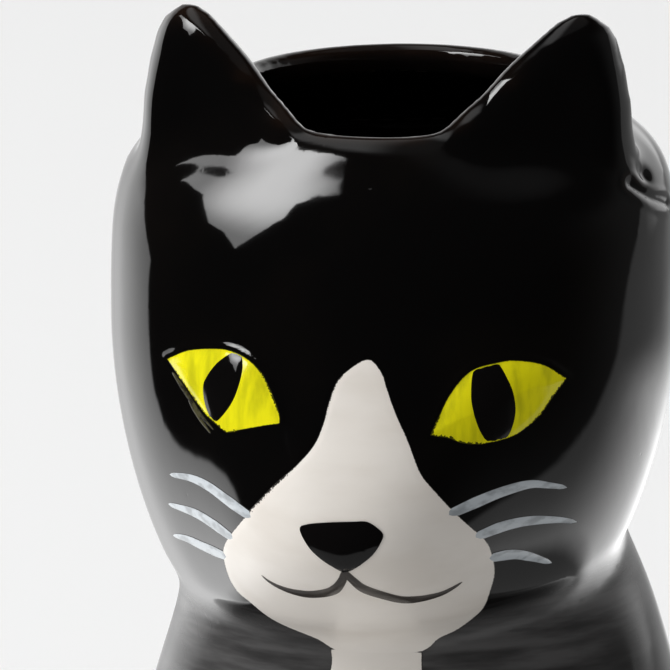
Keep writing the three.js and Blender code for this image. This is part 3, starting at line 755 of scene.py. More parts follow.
def tool_zone():
    spots = points_of(casting) - np.array([0, 0, NECK_HEIGHT])
    return np.where((np.abs(spots - np.array(MARK_MIDDLE)) < np.array(MARK_SPAN)).all(1))[0], spots


def hill(distance, width):
    """One in the middle, falling off smoothly."""
    return np.exp(-((distance / width) ** 2))


refine(tool_zone()[0])
near, spots = tool_zone()
from_line = np.linalg.norm(spots[near][:, None] - through(GROOVE, 10)[None], axis=2).min(1)
from_dimple = np.linalg.norm(spots[near] - np.array(DIMPLE), axis=1)
pressed = GROOVE_DEPTH * hill(from_line, GROOVE_WIDTH) + DIMPLE_DEPTH * hill(from_dimple, DIMPLE_WIDTH)
lift_skin(near, RIDGE_HEIGHT * hill(from_line - RIDGE_AWAY, RIDGE_WIDTH) - pressed)
print("points pressed in:", len(near))

# %% [markdown]
# ## Painted fields
# White blaze, eyes, nose and bib are thin coats of coloured glaze. A painted texture would do for the
# colour, but a coat has an edge that catches light. It starts as a ring of points bent to the painted
# outline in front of the face; smaller rings fill it, a Shrinkwrap modifier lays it on the casting, and a
# Solidify modifier gives it its thickness, thinner at the edge. Each point keeps how far it lies from the
# edge of the coat, and the paint frays by that number.

# %% Lay a coat on the casting
COAT, SINK = 0.22, 0.1  # thickness of a coat, and how far it reaches into the casting
EDGE_SHARE, EDGE_GROWTH = 0.55, 0.45  # share of the thickness at the edge, and its growth inwards
PAINT_FROM = -2 * BODY_FRONT  # flat fields start this far in front


def keep_number(piece, name, values):
    """Stores a number at each point of a piece, for its material to use."""
    kept = piece.data.attributes.new(name, "FLOAT", "POINT")
    kept.data.foreach_set("value", values.astype(np.float32))


def kept_number(piece, name):
    values = np.empty(len(piece.data.vertices), np.float32)
    piece.data.attributes[name].data.foreach_get("value", values)
    return values


def face_front(piece):
    """Turns a flat field over if it faces away from the painter."""
    if normals_of(piece)[:, 1].mean() > 0:
        piece.data.flip_normals()


def lay_on(piece, dome, thickness):
    """Projects a flat field onto the casting, crowns it and gives it the thickness of a coat."""
    finish_with(piece, "SHRINKWRAP", target=casting, wrap_method="PROJECT", use_project_y=True,
                use_positive_direction=True, use_negative_direction=False)
    put_points(piece, points_of(piece) + dome[:, None] * normals_of(piece))
    share = piece.vertex_groups.new(name="coat")
    for i, distance in enumerate(kept_number(piece, "edge_distance")):
        share.add([i], float(np.clip(EDGE_SHARE + EDGE_GROWTH * distance, 0, 1)), "REPLACE")
    return finish_with(piece, "SOLIDIFY", thickness=thickness * MM, offset=1 - 2 * SINK / thickness,
                       vertex_group="coat", use_even_offset=False)


print("a coat is", COAT, "mm thick")

# %% Paint a field
FRAY_SPARE = 0.45  # share of the fray by which the outline grows, to make up for what frays away


def frayed_widths(outline, fray, dry_spots):
    """How wide the edge frays at each point of an outline."""
    widths = np.full(len(outline), fray)
    for x, z, reach, width in dry_spots:
        near = 1 - smoothstep(np.hypot(outline[:, 0] - x, outline[:, 1] - z), 0.5 * reach, reach)
        widths = np.maximum(widths, near * width)
    return widths


def outwards(outline):
    """The direction out of an outline at each of its points."""
    along = np.roll(outline, -1, axis=0) - np.roll(outline, 1, axis=0)
    away = np.stack([along[:, 1], -along[:, 0]], 1) / np.linalg.norm(along, axis=1)[:, None]
    return -away if (away * (outline - outline.mean(0))).sum() < 0 else away


def flat_field(name, outline, middle, rings):
    """A field of rings inside an upright outline, set in front of the casting."""
    field = ring_of(name, outline)
    edit_all()
    shares = 1 - np.linspace(0, 0.97, rings) ** 1.35
    draw_in(shares[1:], np.zeros(rings - 1), middle)
    bpy.ops.mesh.select_all(action="SELECT")
    bpy.ops.mesh.normals_make_consistent(inside=False)
    bpy.ops.object.mode_set(mode="OBJECT")
    points = points_of(field)
    points[:, 1] = PAINT_FROM
    put_points(field, points)
    face_front(field)
    return field


def painted_field(node, outline, middle, rings, raise_by=0.0, thickness=COAT, height=NECK_HEIGHT,
                  lift=0.0, spread=3.0, fray=0.06, dry_spots=()):
    """A coat within an outline of (x, height). raise_by makes it crown; a dry spot (x, height, reach,
    width) is where the brush ran dry, so that the edge frays over that width."""
    widths = frayed_widths(outline, fray, dry_spots)
    flat = outline + FRAY_SPARE * widths[:, None] * outwards(outline) + np.array([0, height])
    field = flat_field(node + "_coat", flat, (middle[0], middle[1] + height), rings)
    spots = points_of(field)[:, [0, 2]]
    inner = np.maximum(inside_distance(spots, flat), 0)
    inner[: len(outline)] = 0
    keep_number(field, "edge_distance", inner)
    nearest = np.abs(spots[:, None] - flat[None]).sum(2).argmin(1)
    keep_number(field, "fray", widths[nearest])
    dome = lift + raise_by * (1 - (1 - np.clip(inner / spread, 0, 1)) ** 2)
    return lay_on(field, dome, thickness)


MUZZLE = [(2.6, 44.1), (5, 42.2), (5.9, 40.1), (7.6, 36.2), (10, 31.6), (12.1, 26.8), (14.7, 23.3),
          (18.3, 18.4), (21.2, 14.3), (22, 11.3), (22.1, 8), (21.3, 4.9), (19.3, 0.3), (15, -4),
          (11.3, -6.2), (8.4, -8.6), (1, -9.4), (-5.6, -9), (-8.9, -6.9), (-14.4, -4), (-18.6, 0.1),
          (-21.2, 2.1), (-22.4, 5.1), (-22.7, 8.8), (-22.2, 11), (-20.1, 14.2), (-16.1, 19.1),
          (-11.8, 23.9), (-8.6, 27), (-5.4, 30.6), (-3.9, 34), (-3, 37.9), (-1.5, 41.3)]
DRY_CHEEKS = [(-13, 22.5, 8, 0.5), (-2.5, 39, 5, 0.2)]
muzzle = painted_field("muzzle_patch", drawn(MUZZLE, (), 200), (0, 13), 34, dry_spots=DRY_CHEEKS)
print("muzzle coat:", len(muzzle.data.polygons), "faces")

# %% Paint the nose and the eyes
NOSE = [(0.1, 11.1), (-0.9, 11.6), (-3.4, 13.3), (-5.4, 15.3), (-6.8, 18), (-5.7, 18.9), (-2.3, 19.5),
        (2.1, 19.8), (4.4, 19.7), (6.5, 18), (6.3, 16.5), (4.7, 14.1), (1.7, 11.7)]
nose = painted_field("nose", drawn(NOSE, (0,), 96), (0, 16.4), 14, raise_by=0.3, thickness=0.4, lift=0.12,
                     spread=4.0, fray=0)
LEFT_DRY = [(17, 31.5, 6, 0.4), (30, 36, 6, 0.3)]
RIGHT_DRY = [(-27.5, 35, 7, 0.4), (-22, 31.5, 4, 0.4), (-13.5, 38, 5, 0.4)]
left_iris = painted_field("left_iris", left_eye_line, (22.5, 36.6), 18, dry_spots=LEFT_DRY)
right_iris = painted_field("right_iris", right_eye_line, (-21.5, 37.2), 18, dry_spots=RIGHT_DRY)
LEFT_PUPIL = [(19.6, 42.5), (19.2, 38.7), (19.7, 35.6), (20.6, 32.6), (21.9, 30.6), (24.4, 30.9),
              (25.6, 33.8), (25.7, 37), (24.8, 40), (22.6, 43.1)]
RIGHT_PUPIL = [(-19.4, 43.6), (-22.6, 41.8), (-24.8, 39), (-25.5, 37), (-25.1, 34.1), (-23.5, 31.9),
               (-21.4, 33.7), (-19.3, 37.1), (-18.3, 41.3)]
LEFT_PUPIL_MIDDLE, RIGHT_PUPIL_MIDDLE = (22.4, 36.6), (-21.9, 37.8)
PUPIL_MARGIN = 0.15


def kept_inside(outline, border, centre):
    """Draws an outline in towards a centre wherever it comes too near a border."""
    for _ in range(40):
        near = inside_distance(outline, border) < PUPIL_MARGIN
        outline = outline + 0.03 * near[:, None] * (np.array(centre) - outline)
    return outline


def painted_pupil(node, points, eye_line, centre):
    outline = kept_inside(drawn(points, (), 80), eye_line, centre)
    return painted_field(node, outline, centre, 16, raise_by=0.05, lift=0.08, fray=0)


left_pupil = painted_pupil("left_pupil", LEFT_PUPIL, left_eye_line, LEFT_PUPIL_MIDDLE)
right_pupil = painted_pupil("right_pupil", RIGHT_PUPIL, right_eye_line, RIGHT_PUPIL_MIDDLE)
print("painted:", [piece.name for piece in (nose, left_iris, right_iris, left_pupil, right_pupil)])

# %% [markdown]
# ## Brush strokes
# Mouth and whiskers are single strokes of a loaded brush: full where the brush was set down, thin where
# it was lifted. A curve with a taper would stand on the face like a wire, so a small grid is stretched
# along each stroke instead, its width following the pressure, and laid on like the coats. Two dry smears
# of the iris colour under one eye are made the same way.

# %% Draw the mouth and the whiskers
STROKE, STROKE_CROWN = 0.16, 0.05  # thickness of a stroke, and how much it crowns
STEPS, LANES = 40, 6
PRESSURE_MARKS, HELD, SLACKENED = [0, 0.25, 0.6, 1], 1, 0.85


def brush_lane(points, width, start, end):
    """A grid stretched along points, with the brush's pressure at its start and at its end."""
    let_go()
    bpy.ops.mesh.primitive_grid_add(x_subdivisions=STEPS, y_subdivisions=LANES, size=MM)
    lane = bpy.context.object
    line = through(points, 16)
    lengths = np.concatenate([[0], np.cumsum(np.linalg.norm(np.diff(line, axis=0), axis=1))])
    grid = points_of(lane)
    along = (grid[:, 0] + 0.5) * lengths[-1]
    across = 2 * grid[:, 1]
    at = np.stack([np.interp(along, lengths, line[:, k]) for k in range(2)], 1)
    ahead = np.gradient(line, axis=0)
    ahead = np.stack([np.interp(along, lengths, ahead[:, k]) for k in range(2)], 1)
    ahead /= np.linalg.norm(ahead, axis=1)[:, None]
    share = along / lengths[-1]
    pressure = np.interp(share, PRESSURE_MARKS, [start, HELD, SLACKENED, end])
    ends = np.sqrt(np.clip(np.minimum(share, 1 - share) * lengths[-1] / (0.4 * width), 0.02, 1))
    half = 0.5 * width * pressure * ends
    spots = at + (across * half)[:, None] * np.stack([-ahead[:, 1], ahead[:, 0]], 1)
    put_points(lane, np.stack([spots[:, 0], np.full(len(spots), PAINT_FROM), spots[:, 1] + NECK_HEIGHT], 1))
    keep_number(lane, "edge_distance", half * (1 - np.abs(across)))
    return lane


def stroke(node, runs, lift=0.0):
    """One painted piece of several strokes; each run is (points, width, pressure at start and end)."""
    lanes = [brush_lane(*run) for run in runs]
    take_up(lanes[0])
    for lane in lanes:
        lane.select_set(True)
    if len(lanes) > 1:
        bpy.ops.object.join()
    piece = bpy.context.object
    piece.name = node + "_stroke"
    face_front(piece)
    crown = kept_number(piece, "edge_distance")
    return lay_on(piece, lift + STROKE_CROWN * np.sqrt(np.maximum(crown, 0)), STROKE)


MOUTH_LEFT = [(-0.1, 11.4), (1.3, 9.5), (2.8, 7.7), (5.8, 6.1), (8.4, 5), (11.1, 4.9), (14, 5.4),
              (15.8, 6.2), (17.4, 7.2)]
MOUTH_RIGHT = [(0.3, 11.4), (-0.5, 9.2), (-2.4, 7), (-5.9, 5.8), (-9.1, 5.7), (-11.9, 6.2), (-13.9, 7),
               (-14.9, 7.8)]
mouth = stroke("mouth_line", [(MOUTH_LEFT, 1.75, 0.65, 0.15), (MOUTH_RIGHT, 1.7, 0.65, 0.15)], lift=0.16)
WHISKERS = {
    "left_whisker_upper": [(15.8, 19.6), (20.1, 21), (23.9, 22), (27.7, 22.4), (30.4, 21.6), (32.9, 20.6)],
    "left_whisker_middle": [(19.6, 15), (23.8, 16), (27.5, 16), (31.3, 15.1), (33.9, 13.9)],
    "left_whisker_lower": [(21.4, 10.7), (24.7, 10.5), (27.1, 9.3), (29.9, 7.1)],
    "right_whisker_upper": [(-15.6, 18), (-21, 19.6), (-24.8, 20.7), (-28.6, 21), (-33.1, 20.2)],
    "right_whisker_middle": [(-19.8, 13), (-24.4, 14.3), (-28.4, 14.9), (-34, 14.5)],
    "right_whisker_lower": [(-21.8, 8.9), (-26.8, 9), (-30.8, 9.1), (-33.8, 8.5)],
}
SMEARS = [[(-31.8, 38.2), (-29.2, 35.4), (-26.3, 32.4), (-23.6, 30.4)],
          [(-28.6, 34.3), (-26.2, 31.5), (-24.2, 29.7)]]
smears = stroke("right_iris_smears", [(line, 0.9, 0.5, 0.3) for line in SMEARS])
WHISKER_WIDTH = 2.0
whiskers = [stroke(name, [(line, WHISKER_WIDTH, 0.8, 0.4)], lift=0.02) for name, line in WHISKERS.items()]
print("whiskers:", len(whiskers))

# %% [markdown]
# ## Bib
# The bib is one more white field, under the chin and down the chest. It is measured from the front of the
# neck seam, because it was painted after the two castings had been joined.

# %% Paint the bib
SEAM_FRONT = -math.tan(NECK_TILT) * NECK_WIDTH / 2 * FRONT_RATIO
BIB_TOP = NECK_HEIGHT + SEAM_FRONT
BIB = [(-6.9, -0.6), (0.9, -0.4), (8.5, -0.6), (8.4, -3), (9.4, -9), (12, -16), (13.6, -23), (12, -31),
       (7, -40), (0.9, -46), (-5.6, -40), (-10.4, -31), (-12, -23), (-10.4, -16), (-7.8, -9), (-6.7, -3)]
bib = painted_field("chest_bib", drawn(BIB, (0, 2), 160), (0.9, -20), 30, height=BIB_TOP)
print("bib reaches down to", round(float(points_of(bib)[:, 2].min()), 1), "mm above the table")

# %% [markdown]
# ## Paws
# The white paws are rounded lumps with two lines pressed in for the toes. A sphere is flattened to the
# lump, the lines are pressed in by a smooth formula, and what would lie in the body stays hidden inside
# it. Cutting the lines with a Boolean would leave them sharp, and glaze fills sharp lines.

# %% Press the paws
TOE_DEPTH, TOE_BREADTH = 1.7, 1.3
PAW_SIT, SOLE_ROUND, SOLE_SOFT = 0.4, 0.6, 2.5
FORE_PAW, FORE_PAW_PLACE = (24, 33, 17), (13.75, -47, 0)
HIND_PAW, HIND_PAW_PLACE, HIND_PAW_TURN = (21, 37, 15), (39.5, -30, 0), math.radians(14)
PAINTED_OVER = 5  # a paw is white all over, so it counts as this far from any edge


def paw(node, size, place):
    width, length, height = size
    let_go()
    bpy.ops.mesh.primitive_uv_sphere_add(segments=96, ring_count=64, radius=MM)
    lump = bpy.context.object
    lump.name = node + "_lump"

    def shape(p):
        p = np.stack([p[:, 0], -p[:, 2], p[:, 1]], 1)
        toes = sum(hill((p[:, 0] - side / 3) * width / 2, TOE_BREADTH) for side in (-1, 1))
        groove = TOE_DEPTH * toes * smoothstep(-p[:, 1], 0.25, 0.85)
        q = p * np.array([width / 2, length / 2, (1 - PAW_SIT) * height])
        q -= p * groove[:, None]
        q[:, 2] += PAW_SIT * height
        sole = SOLE_ROUND * np.exp((q[:, 2] - SOLE_ROUND) / SOLE_SOFT)
        q[:, 2] = np.where(q[:, 2] < SOLE_ROUND, sole, q[:, 2])
        return place(q)

    keep_number(lump, "edge_distance", np.full(len(lump.data.vertices), PAINTED_OVER))
    return face_out(press(lump, shape))


def place_fore_paw(p):
    return p + np.array(FORE_PAW_PLACE)


def place_hind_paw(p):
    x = p[:, 0] * math.cos(HIND_PAW_TURN) - p[:, 1] * math.sin(HIND_PAW_TURN)
    y = p[:, 0] * math.sin(HIND_PAW_TURN) + p[:, 1] * math.cos(HIND_PAW_TURN)
    return np.stack([x, y, p[:, 2]], 1) + np.array(HIND_PAW_PLACE)


paws = [
    paw("left_forepaw", FORE_PAW, place_fore_paw),
    paw("right_forepaw", FORE_PAW, lambda p: mirrored(place_fore_paw(p))),
    paw("left_hind_paw", HIND_PAW, place_hind_paw),
    paw("right_hind_paw", HIND_PAW, lambda p: mirrored(place_hind_paw(p))),
]
print("paws:", [piece.name for piece in paws])

# %% [markdown]
# ## Back to two castings
# The skin is cut at the plane of the neck seam, with a block that stands on it. A bisect would leave the
# cuts open; a Boolean closes both, so the head and the body are whole pieces that meet exactly.

# %% Cut at the neck seam
CUTTER = 0.4  # side of the cutting block in metres


def tilt_to_seam(p):
    p[:, 2] += seam_drop(p)
    return p


def twin(piece):
    """A copy of a piece with a mesh of its own."""
    copy = piece.copy()
    copy.data = piece.data.copy()
    bpy.context.scene.collection.objects.link(copy)
    return copy


let_go()
bpy.ops.mesh.primitive_cube_add(size=CUTTER, location=(0, 0, CUTTER / 2))
over_seam = bpy.context.object
bpy.ops.object.transform_apply(location=True, rotation=False, scale=False)
press(over_seam, tilt_to_seam, NECK_HEIGHT)
head = combine(twin(casting), twin(over_seam), "INTERSECT")
head.name = "head"
body = combine(casting, over_seam, "DIFFERENCE")
body.name = "body"
print("head:", len(head.data.polygons), "faces, body:", len(body.data.polygons), "faces")

# %% [markdown]
# ## Thin glaze and painted sheen
# Glaze runs off sharp edges, so rim and ears show a little brown clay. Round the neck a band of grey
# streaks is painted sheen, colour that stands in for the grey the neck mirrors, and the glaze is rougher
# there. Blender's pointiness would find the edges too, but it changes with the density of the mesh, so
# both are measured in millimetres and stored as numbers at the points.

# %% Where the glaze is thin
SHEEN_OVER, SHEEN_UNDER = 8, 22  # how far the painted sheen reaches up and down from the seam
SHARP_FROM, SHARP_FULL = 0.07, 0.2  # turn of the skin per millimetre where glaze gets thin
RUNS_FROM, RUNS_FULL = 64, 72  # heights over the neck where the dipped glaze ran down


def turn_of_skin(piece):
    """How sharply the skin turns outwards at each point, evened out over its neighbours."""
    points, normals = points_of(piece), normals_of(piece)
    edges = np.empty(2 * len(piece.data.edges), np.int64)
    piece.data.edges.foreach_get("vertices", edges)
    a, b = edges.reshape(-1, 2).T
    along = points[a] - points[b]
    bend = ((normals[a] - normals[b]) * along).sum(1) / np.maximum((along**2).sum(1), 1e-6)
    count = np.bincount(a, minlength=len(points)) + np.bincount(b, minlength=len(points))
    for _ in range(3):
        total = np.bincount(a, bend, len(points)) + np.bincount(b, bend, len(points))
        mean = total / np.maximum(count, 1)
        bend = (mean[a] + mean[b]) / 2
    return mean


def mark_glaze(piece):
    points, turns = points_of(piece), turn_of_skin(piece)
    runs = smoothstep(points[:, 2], NECK_HEIGHT + RUNS_FROM, NECK_HEIGHT + RUNS_FULL)
    keep_number(piece, "thin_glaze", smoothstep(turns, SHARP_FROM, SHARP_FULL) * runs)
    # the band round the seam where grey painted sheen is mixed into the colour and the glaze is rougher
    from_seam = height_over_seam(points)
    reach = np.where(from_seam > 0, SHEEN_OVER, SHEEN_UNDER)
    keep_number(piece, "brushed", 1 - smoothstep(np.abs(from_seam) / reach, 0.2, 1))
    return round(float(turns.max()), 2)


print("sharpest turns:", mark_glaze(head), mark_glaze(body))

# %% [markdown]
# ## Glazes
# Fired glaze is a coloured glass: very smooth, with a faint ripple where it ran and a few pinholes. All
# finishes share one node group that makes the ripple and a cloudy mask on Object coordinates; each finish
# sets its own strength. The Principled shader's own gloss does the rest, so nothing depends on the
# camera.

# %% Small helpers for nodes


def math_node(nodes, operation, second=None):
    node = nodes.new("ShaderNodeMath")
    node.operation = operation
    if second is not None:
        node.inputs[1].default_value = second
    return node


def times(nodes, links, a, b):
    node = math_node(nodes, "MULTIPLY")
    links.new(a, node.inputs[0])
    links.new(b, node.inputs[1])
    return node.outputs["Value"]


def ranged(nodes, links, value, low, high, to_low=0.0, to_high=1.0, shape="SMOOTHSTEP"):
    """Turns the range from low to high into another range."""
    node = nodes.new("ShaderNodeMapRange")
    node.interpolation_type = shape
    for key, number in (("From Min", low), ("From Max", high), ("To Min", to_low), ("To Max", to_high)):
        node.inputs[key].default_value = number
    links.new(value, node.inputs["Value"])
    return node.outputs["Result"]


def noise(nodes, links, place, detail, scale=1.0):
    node = nodes.new("ShaderNodeTexNoise")
    node.inputs["Detail"].default_value = detail
    node.inputs["Scale"].default_value = scale
    links.new(place, node.inputs["Vector"])
    return node


def blend_colours(nodes, links, share, first, second):
    """Mixes two colours by a share; a colour is four numbers or another node's output."""
    mix = nodes.new("ShaderNodeMix")
    mix.data_type = "RGBA"
    for socket, value in ((mix.inputs[6], first), (mix.inputs[7], second)):
        if isinstance(value, tuple):
            socket.default_value = value
        else:
            links.new(value, socket)
    links.new(share, mix.inputs[0])
    return mix.outputs[2]


def attribute(nodes, name):
    """A number that is stored at the points of the piece."""
    node = nodes.new("ShaderNodeAttribute")
    node.attribute_name = name
    return node.outputs["Fac"]


print("materials before the glazes:", len(bpy.data.materials))

# %% A node group for fired glaze
HOLE_SPACING, HOLE_INNER, HOLE_OUTER = 90, 0.03, 0.05


def fired_glaze_group():
    group = bpy.data.node_groups.new("fired_glaze", "ShaderNodeTree")
    for name in ("Ripple Scale", "Cloud Scale", "Pinholes"):
        group.interface.new_socket(name, in_out="INPUT", socket_type="NodeSocketFloat")
    for name in ("Height", "Cloud"):
        group.interface.new_socket(name, in_out="OUTPUT", socket_type="NodeSocketFloat")
    nodes, links = group.nodes, group.links
    given, result = nodes.new("NodeGroupInput"), nodes.new("NodeGroupOutput")
    place = nodes.new("ShaderNodeTexCoord").outputs["Object"]
    ripple, cloud = noise(nodes, links, place, 2), noise(nodes, links, place, 4)
    links.new(given.outputs["Ripple Scale"], ripple.inputs["Scale"])
    links.new(given.outputs["Cloud Scale"], cloud.inputs["Scale"])
    cells = nodes.new("ShaderNodeTexVoronoi")
    cells.inputs["Scale"].default_value = HOLE_SPACING
    links.new(place, cells.inputs["Vector"])
    depth = math_node(nodes, "MULTIPLY_ADD")
    hole = ranged(nodes, links, cells.outputs["Distance"], HOLE_INNER, HOLE_OUTER, -1, 0)
    links.new(hole, depth.inputs[0])
    links.new(given.outputs["Pinholes"], depth.inputs[1])
    links.new(ripple.outputs["Fac"], depth.inputs[2])
    links.new(depth.outputs["Value"], result.inputs["Height"])
    links.new(cloud.outputs["Fac"], result.inputs["Cloud"])
    return group


fired_glaze = fired_glaze_group()
print("glaze group outputs:", [s.name for s in fired_glaze.interface.items_tree if s.in_out == "OUTPUT"])

# %% Materials from the group
GLAZE_IOR = 1.52  # as glass
RELIEF = 0.3  # height of the ripple


def placed(nodes, group, values):
    """Places a node group in a material with its own values."""
    node = nodes.new("ShaderNodeGroup")
    node.node_tree = group
    for key, value in values.items():
        node.inputs[key].default_value = value
    return node


def glaze(name, gloss, ripple, cloud, pinholes, bump):
    """A material with the shared ripple; gives back its nodes to colour it with."""
    material = bpy.data.materials.new(name)
    material.use_nodes = True
    nodes, links = material.node_tree.nodes, material.node_tree.links
    shader = nodes["Principled BSDF"]
    shader.inputs["IOR"].default_value = GLAZE_IOR
    skin = placed(nodes, fired_glaze, {"Ripple Scale": ripple, "Cloud Scale": cloud, "Pinholes": pinholes})
    relief = nodes.new("ShaderNodeBump")
    relief.inputs["Strength"].default_value = bump
    relief.inputs["Distance"].default_value = RELIEF * MM
    links.new(skin.outputs["Height"], relief.inputs["Height"])
    links.new(relief.outputs["Normal"], shader.inputs["Normal"])
    rough = ranged(nodes, links, skin.outputs["Cloud"], 0, 1, 0.6 * gloss, 1.4 * gloss, "LINEAR")
    links.new(rough, shader.inputs["Roughness"])
    return material, nodes, links, shader, skin


print("index of refraction of the glaze:", GLAZE_IOR)

# %% [markdown]
# ## Black glaze
# The black is a deep glass with clouds of brown in it and a brown tint where it ran thin. Round the neck
# grey streaks in its colour are painted sheen, standing in for the grey the neck mirrors, and the glaze
# there is rougher. One flat black would lose all that at the edges. The streaks are noise squeezed by a
# Mapping node, so that they lie round the neck.

# %% Mix the black glaze
BLACK, BLACK_BROWN = (0.0018, 0.0016, 0.0016, 1), (0.003, 0.0024, 0.0021, 1)
# the grey of the painted sheen round the neck, which stands in for the grey the neck mirrors
THIN_BROWN, NECK_SHEEN_GREY = (0.011, 0.006, 0.004, 1), (0.085, 0.083, 0.083, 1)
SHEEN_BAND_ROUGHNESS = 0.22
STREAK_SQUEEZE, STREAK_SCALE = (0.2, 0.2, 1.4), 330
black_glaze, nodes, links, shader, skin = glaze("black_glaze", 0.05, 90, 35, 0.6, 0.12)
cloud = skin.outputs["Cloud"]
cloudy = blend_colours(nodes, links, ranged(nodes, links, cloud, 0.45, 0.7), BLACK, BLACK_BROWN)
thin = times(nodes, links, attribute(nodes, "thin_glaze"), ranged(nodes, links, cloud, 0.3, 0.65))
colour = blend_colours(nodes, links, thin, cloudy, THIN_BROWN)
around_neck = nodes.new("ShaderNodeMapping")
around_neck.inputs["Scale"].default_value = STREAK_SQUEEZE
links.new(nodes.new("ShaderNodeTexCoord").outputs["Object"], around_neck.inputs["Vector"])
streaks = noise(nodes, links, around_neck.outputs["Vector"], 4, STREAK_SCALE)
# painted sheen: grey streaks mixed into the base colour round the neck, standing in for its grey reflection
brushed = attribute(nodes, "brushed")
painted_sheen = times(nodes, links, brushed, ranged(nodes, links, streaks.outputs["Fac"], 0.3, 0.7, 0.4, 1))
links.new(blend_colours(nodes, links, painted_sheen, colour, NECK_SHEEN_GREY), shader.inputs["Base Color"])
fired = shader.inputs["Roughness"].links[0].from_socket
rougher = math_node(nodes, "MULTIPLY_ADD", SHEEN_BAND_ROUGHNESS)
links.new(brushed, rougher.inputs[0])
links.new(fired, rougher.inputs[2])
links.new(rougher.outputs["Value"], shader.inputs["Roughness"])
print("black glaze nodes:", len(nodes))

# %% [markdown]
# ## The painter's colours
# White, yellow, grey, charcoal and olive are brushed on, and all show the same two things: streaks along
# the stroke, and an edge that frays where the brush ran dry. That is a second node group. It reads the
# distance from the edge that each coat keeps, so the fray follows the outline, which a pattern in space
# alone could not do.

# %% A node group for painted coats
FRAY_GRAIN, FRAY_SWING, FRAY_MIDDLE, FRAY_SOFT = 2600, 3.2, -2.05, 0.12


def painted_coat_group():
    group = bpy.data.node_groups.new("painted_coat", "ShaderNodeTree")
    for name, kind in (("Full", "Color"), ("Worn", "Color"), ("Under", "Color"), ("Brush Along", "Vector"),
                       ("Brush Scale", "Float")):
        group.interface.new_socket(name, in_out="INPUT", socket_type="NodeSocket" + kind)
    group.interface.new_socket("Colour", in_out="OUTPUT", socket_type="NodeSocketColor")
    nodes, links = group.nodes, group.links
    given, result = nodes.new("NodeGroupInput"), nodes.new("NodeGroupOutput")
    place = nodes.new("ShaderNodeTexCoord").outputs["Object"]
    along = nodes.new("ShaderNodeVectorMath")
    along.operation = "MULTIPLY"
    links.new(place, along.inputs[0])
    links.new(given.outputs["Brush Along"], along.inputs[1])
    streaks = noise(nodes, links, along.outputs["Vector"], 4)
    links.new(given.outputs["Brush Scale"], streaks.inputs["Scale"])
    worn = ranged(nodes, links, streaks.outputs["Fac"], 0.42, 0.68)
    colour = blend_colours(nodes, links, worn, given.outputs["Full"], given.outputs["Worn"])
    around = math_node(nodes, "MULTIPLY_ADD", FRAY_SWING)
    around.inputs[2].default_value = FRAY_MIDDLE
    links.new(noise(nodes, links, place, 3, FRAY_GRAIN).outputs["Fac"], around.inputs[0])
    edge = math_node(nodes, "MULTIPLY_ADD")
    links.new(around.outputs["Value"], edge.inputs[0])
    links.new(attribute(nodes, "fray"), edge.inputs[1])
    links.new(attribute(nodes, "edge_distance"), edge.inputs[2])
    whole = ranged(nodes, links, edge.outputs["Value"], 0, FRAY_SOFT)
    links.new(blend_colours(nodes, links, whole, given.outputs["Under"], colour), result.inputs["Colour"])
    return group


painted_coat = painted_coat_group()
print("painted coat inputs:", [s.name for s in painted_coat.interface.items_tree if s.in_out == "INPUT"])

# %% White glaze and the colours of the painter
UNDER_BLACK = (0.012, 0.009, 0.007, 1)
WHITE, WORN_WHITE = (0.79, 0.745, 0.69, 1), (0.73, 0.68, 0.62, 1)
YELLOW, WORN_YELLOW = (0.8, 0.74, 0.006, 1), (0.56, 0.53, 0.006, 1)
UNDER_YELLOW = (0.05, 0.048, 0.004, 1)
GREY, WORN_GREY = (0.5, 0.54, 0.57, 1), (0.3, 0.325, 0.345, 1)
CHARCOAL, WORN_CHARCOAL = (0.042, 0.036, 0.032, 1), (0.062, 0.054, 0.048, 1)
UNDER_CHARCOAL = (0.1, 0.09, 0.08, 1)
OLIVE, WORN_OLIVE = (0.06, 0.055, 0.022, 1), (0.012, 0.011, 0.006, 1)
NOSE_BLACK, NOSE_CLOUD = (0.0015, 0.0015, 0.0015, 1), (0.005, 0.004, 0.004, 1)


def paint(name, gloss, full, worn, under, along, scale):
    """A painter's colour with streaks along the brush and a frayed edge."""
    material, nodes, links, shader, skin = glaze(name, gloss, 160, 60, 0.2, 0.1)
    values = {"Full": full, "Worn": worn, "Under": under, "Brush Along": along, "Brush Scale": scale}
    coat = placed(nodes, painted_coat, values)
    links.new(coat.outputs["Colour"], shader.inputs["Base Color"])
    return material


def clouded(material, nodes, links, shader, skin, first, second):
    """Colours a glaze with two colours that drift into each other like clouds."""
    colour = blend_colours(nodes, links, skin.outputs["Cloud"], first, second)
    links.new(colour, shader.inputs["Base Color"])
    return material


white_glaze = paint("white_glaze", 0.34, WHITE, WORN_WHITE, UNDER_BLACK, (0.5, 1, 1.6), 70)
yellow_enamel = paint("yellow_enamel", 0.1, YELLOW, WORN_YELLOW, UNDER_YELLOW, (1.5, 1, 0.35), 260)
grey_enamel = paint("grey_enamel", 0.2, GREY, WORN_GREY, UNDER_BLACK, (0.35, 1, 1.8), 420)
charcoal_enamel = paint("charcoal_enamel", 0.18, CHARCOAL, WORN_CHARCOAL, UNDER_CHARCOAL, (0.5, 1, 1), 300)
olive_smear = paint("olive_smear", 0.2, OLIVE, WORN_OLIVE, UNDER_BLACK, (1, 1, 1), 900)
nose_glaze = clouded(*glaze("nose_glaze", 0.07, 120, 60, 0.3, 0.1), NOSE_BLACK, NOSE_CLOUD)
print("painter's colours:", yellow_enamel.name, grey_enamel.name, charcoal_enamel.name, nose_glaze.name)

# %% [markdown]
# ## Bare foot and finishes
# The foot is wiped clean of glaze before firing, or it would stick to the kiln shelf, so the flat faces
# under the vase get a matt clay of their own. Then every piece gets its finish and the body that it rides
# on, and the solids that it stands for are hidden.

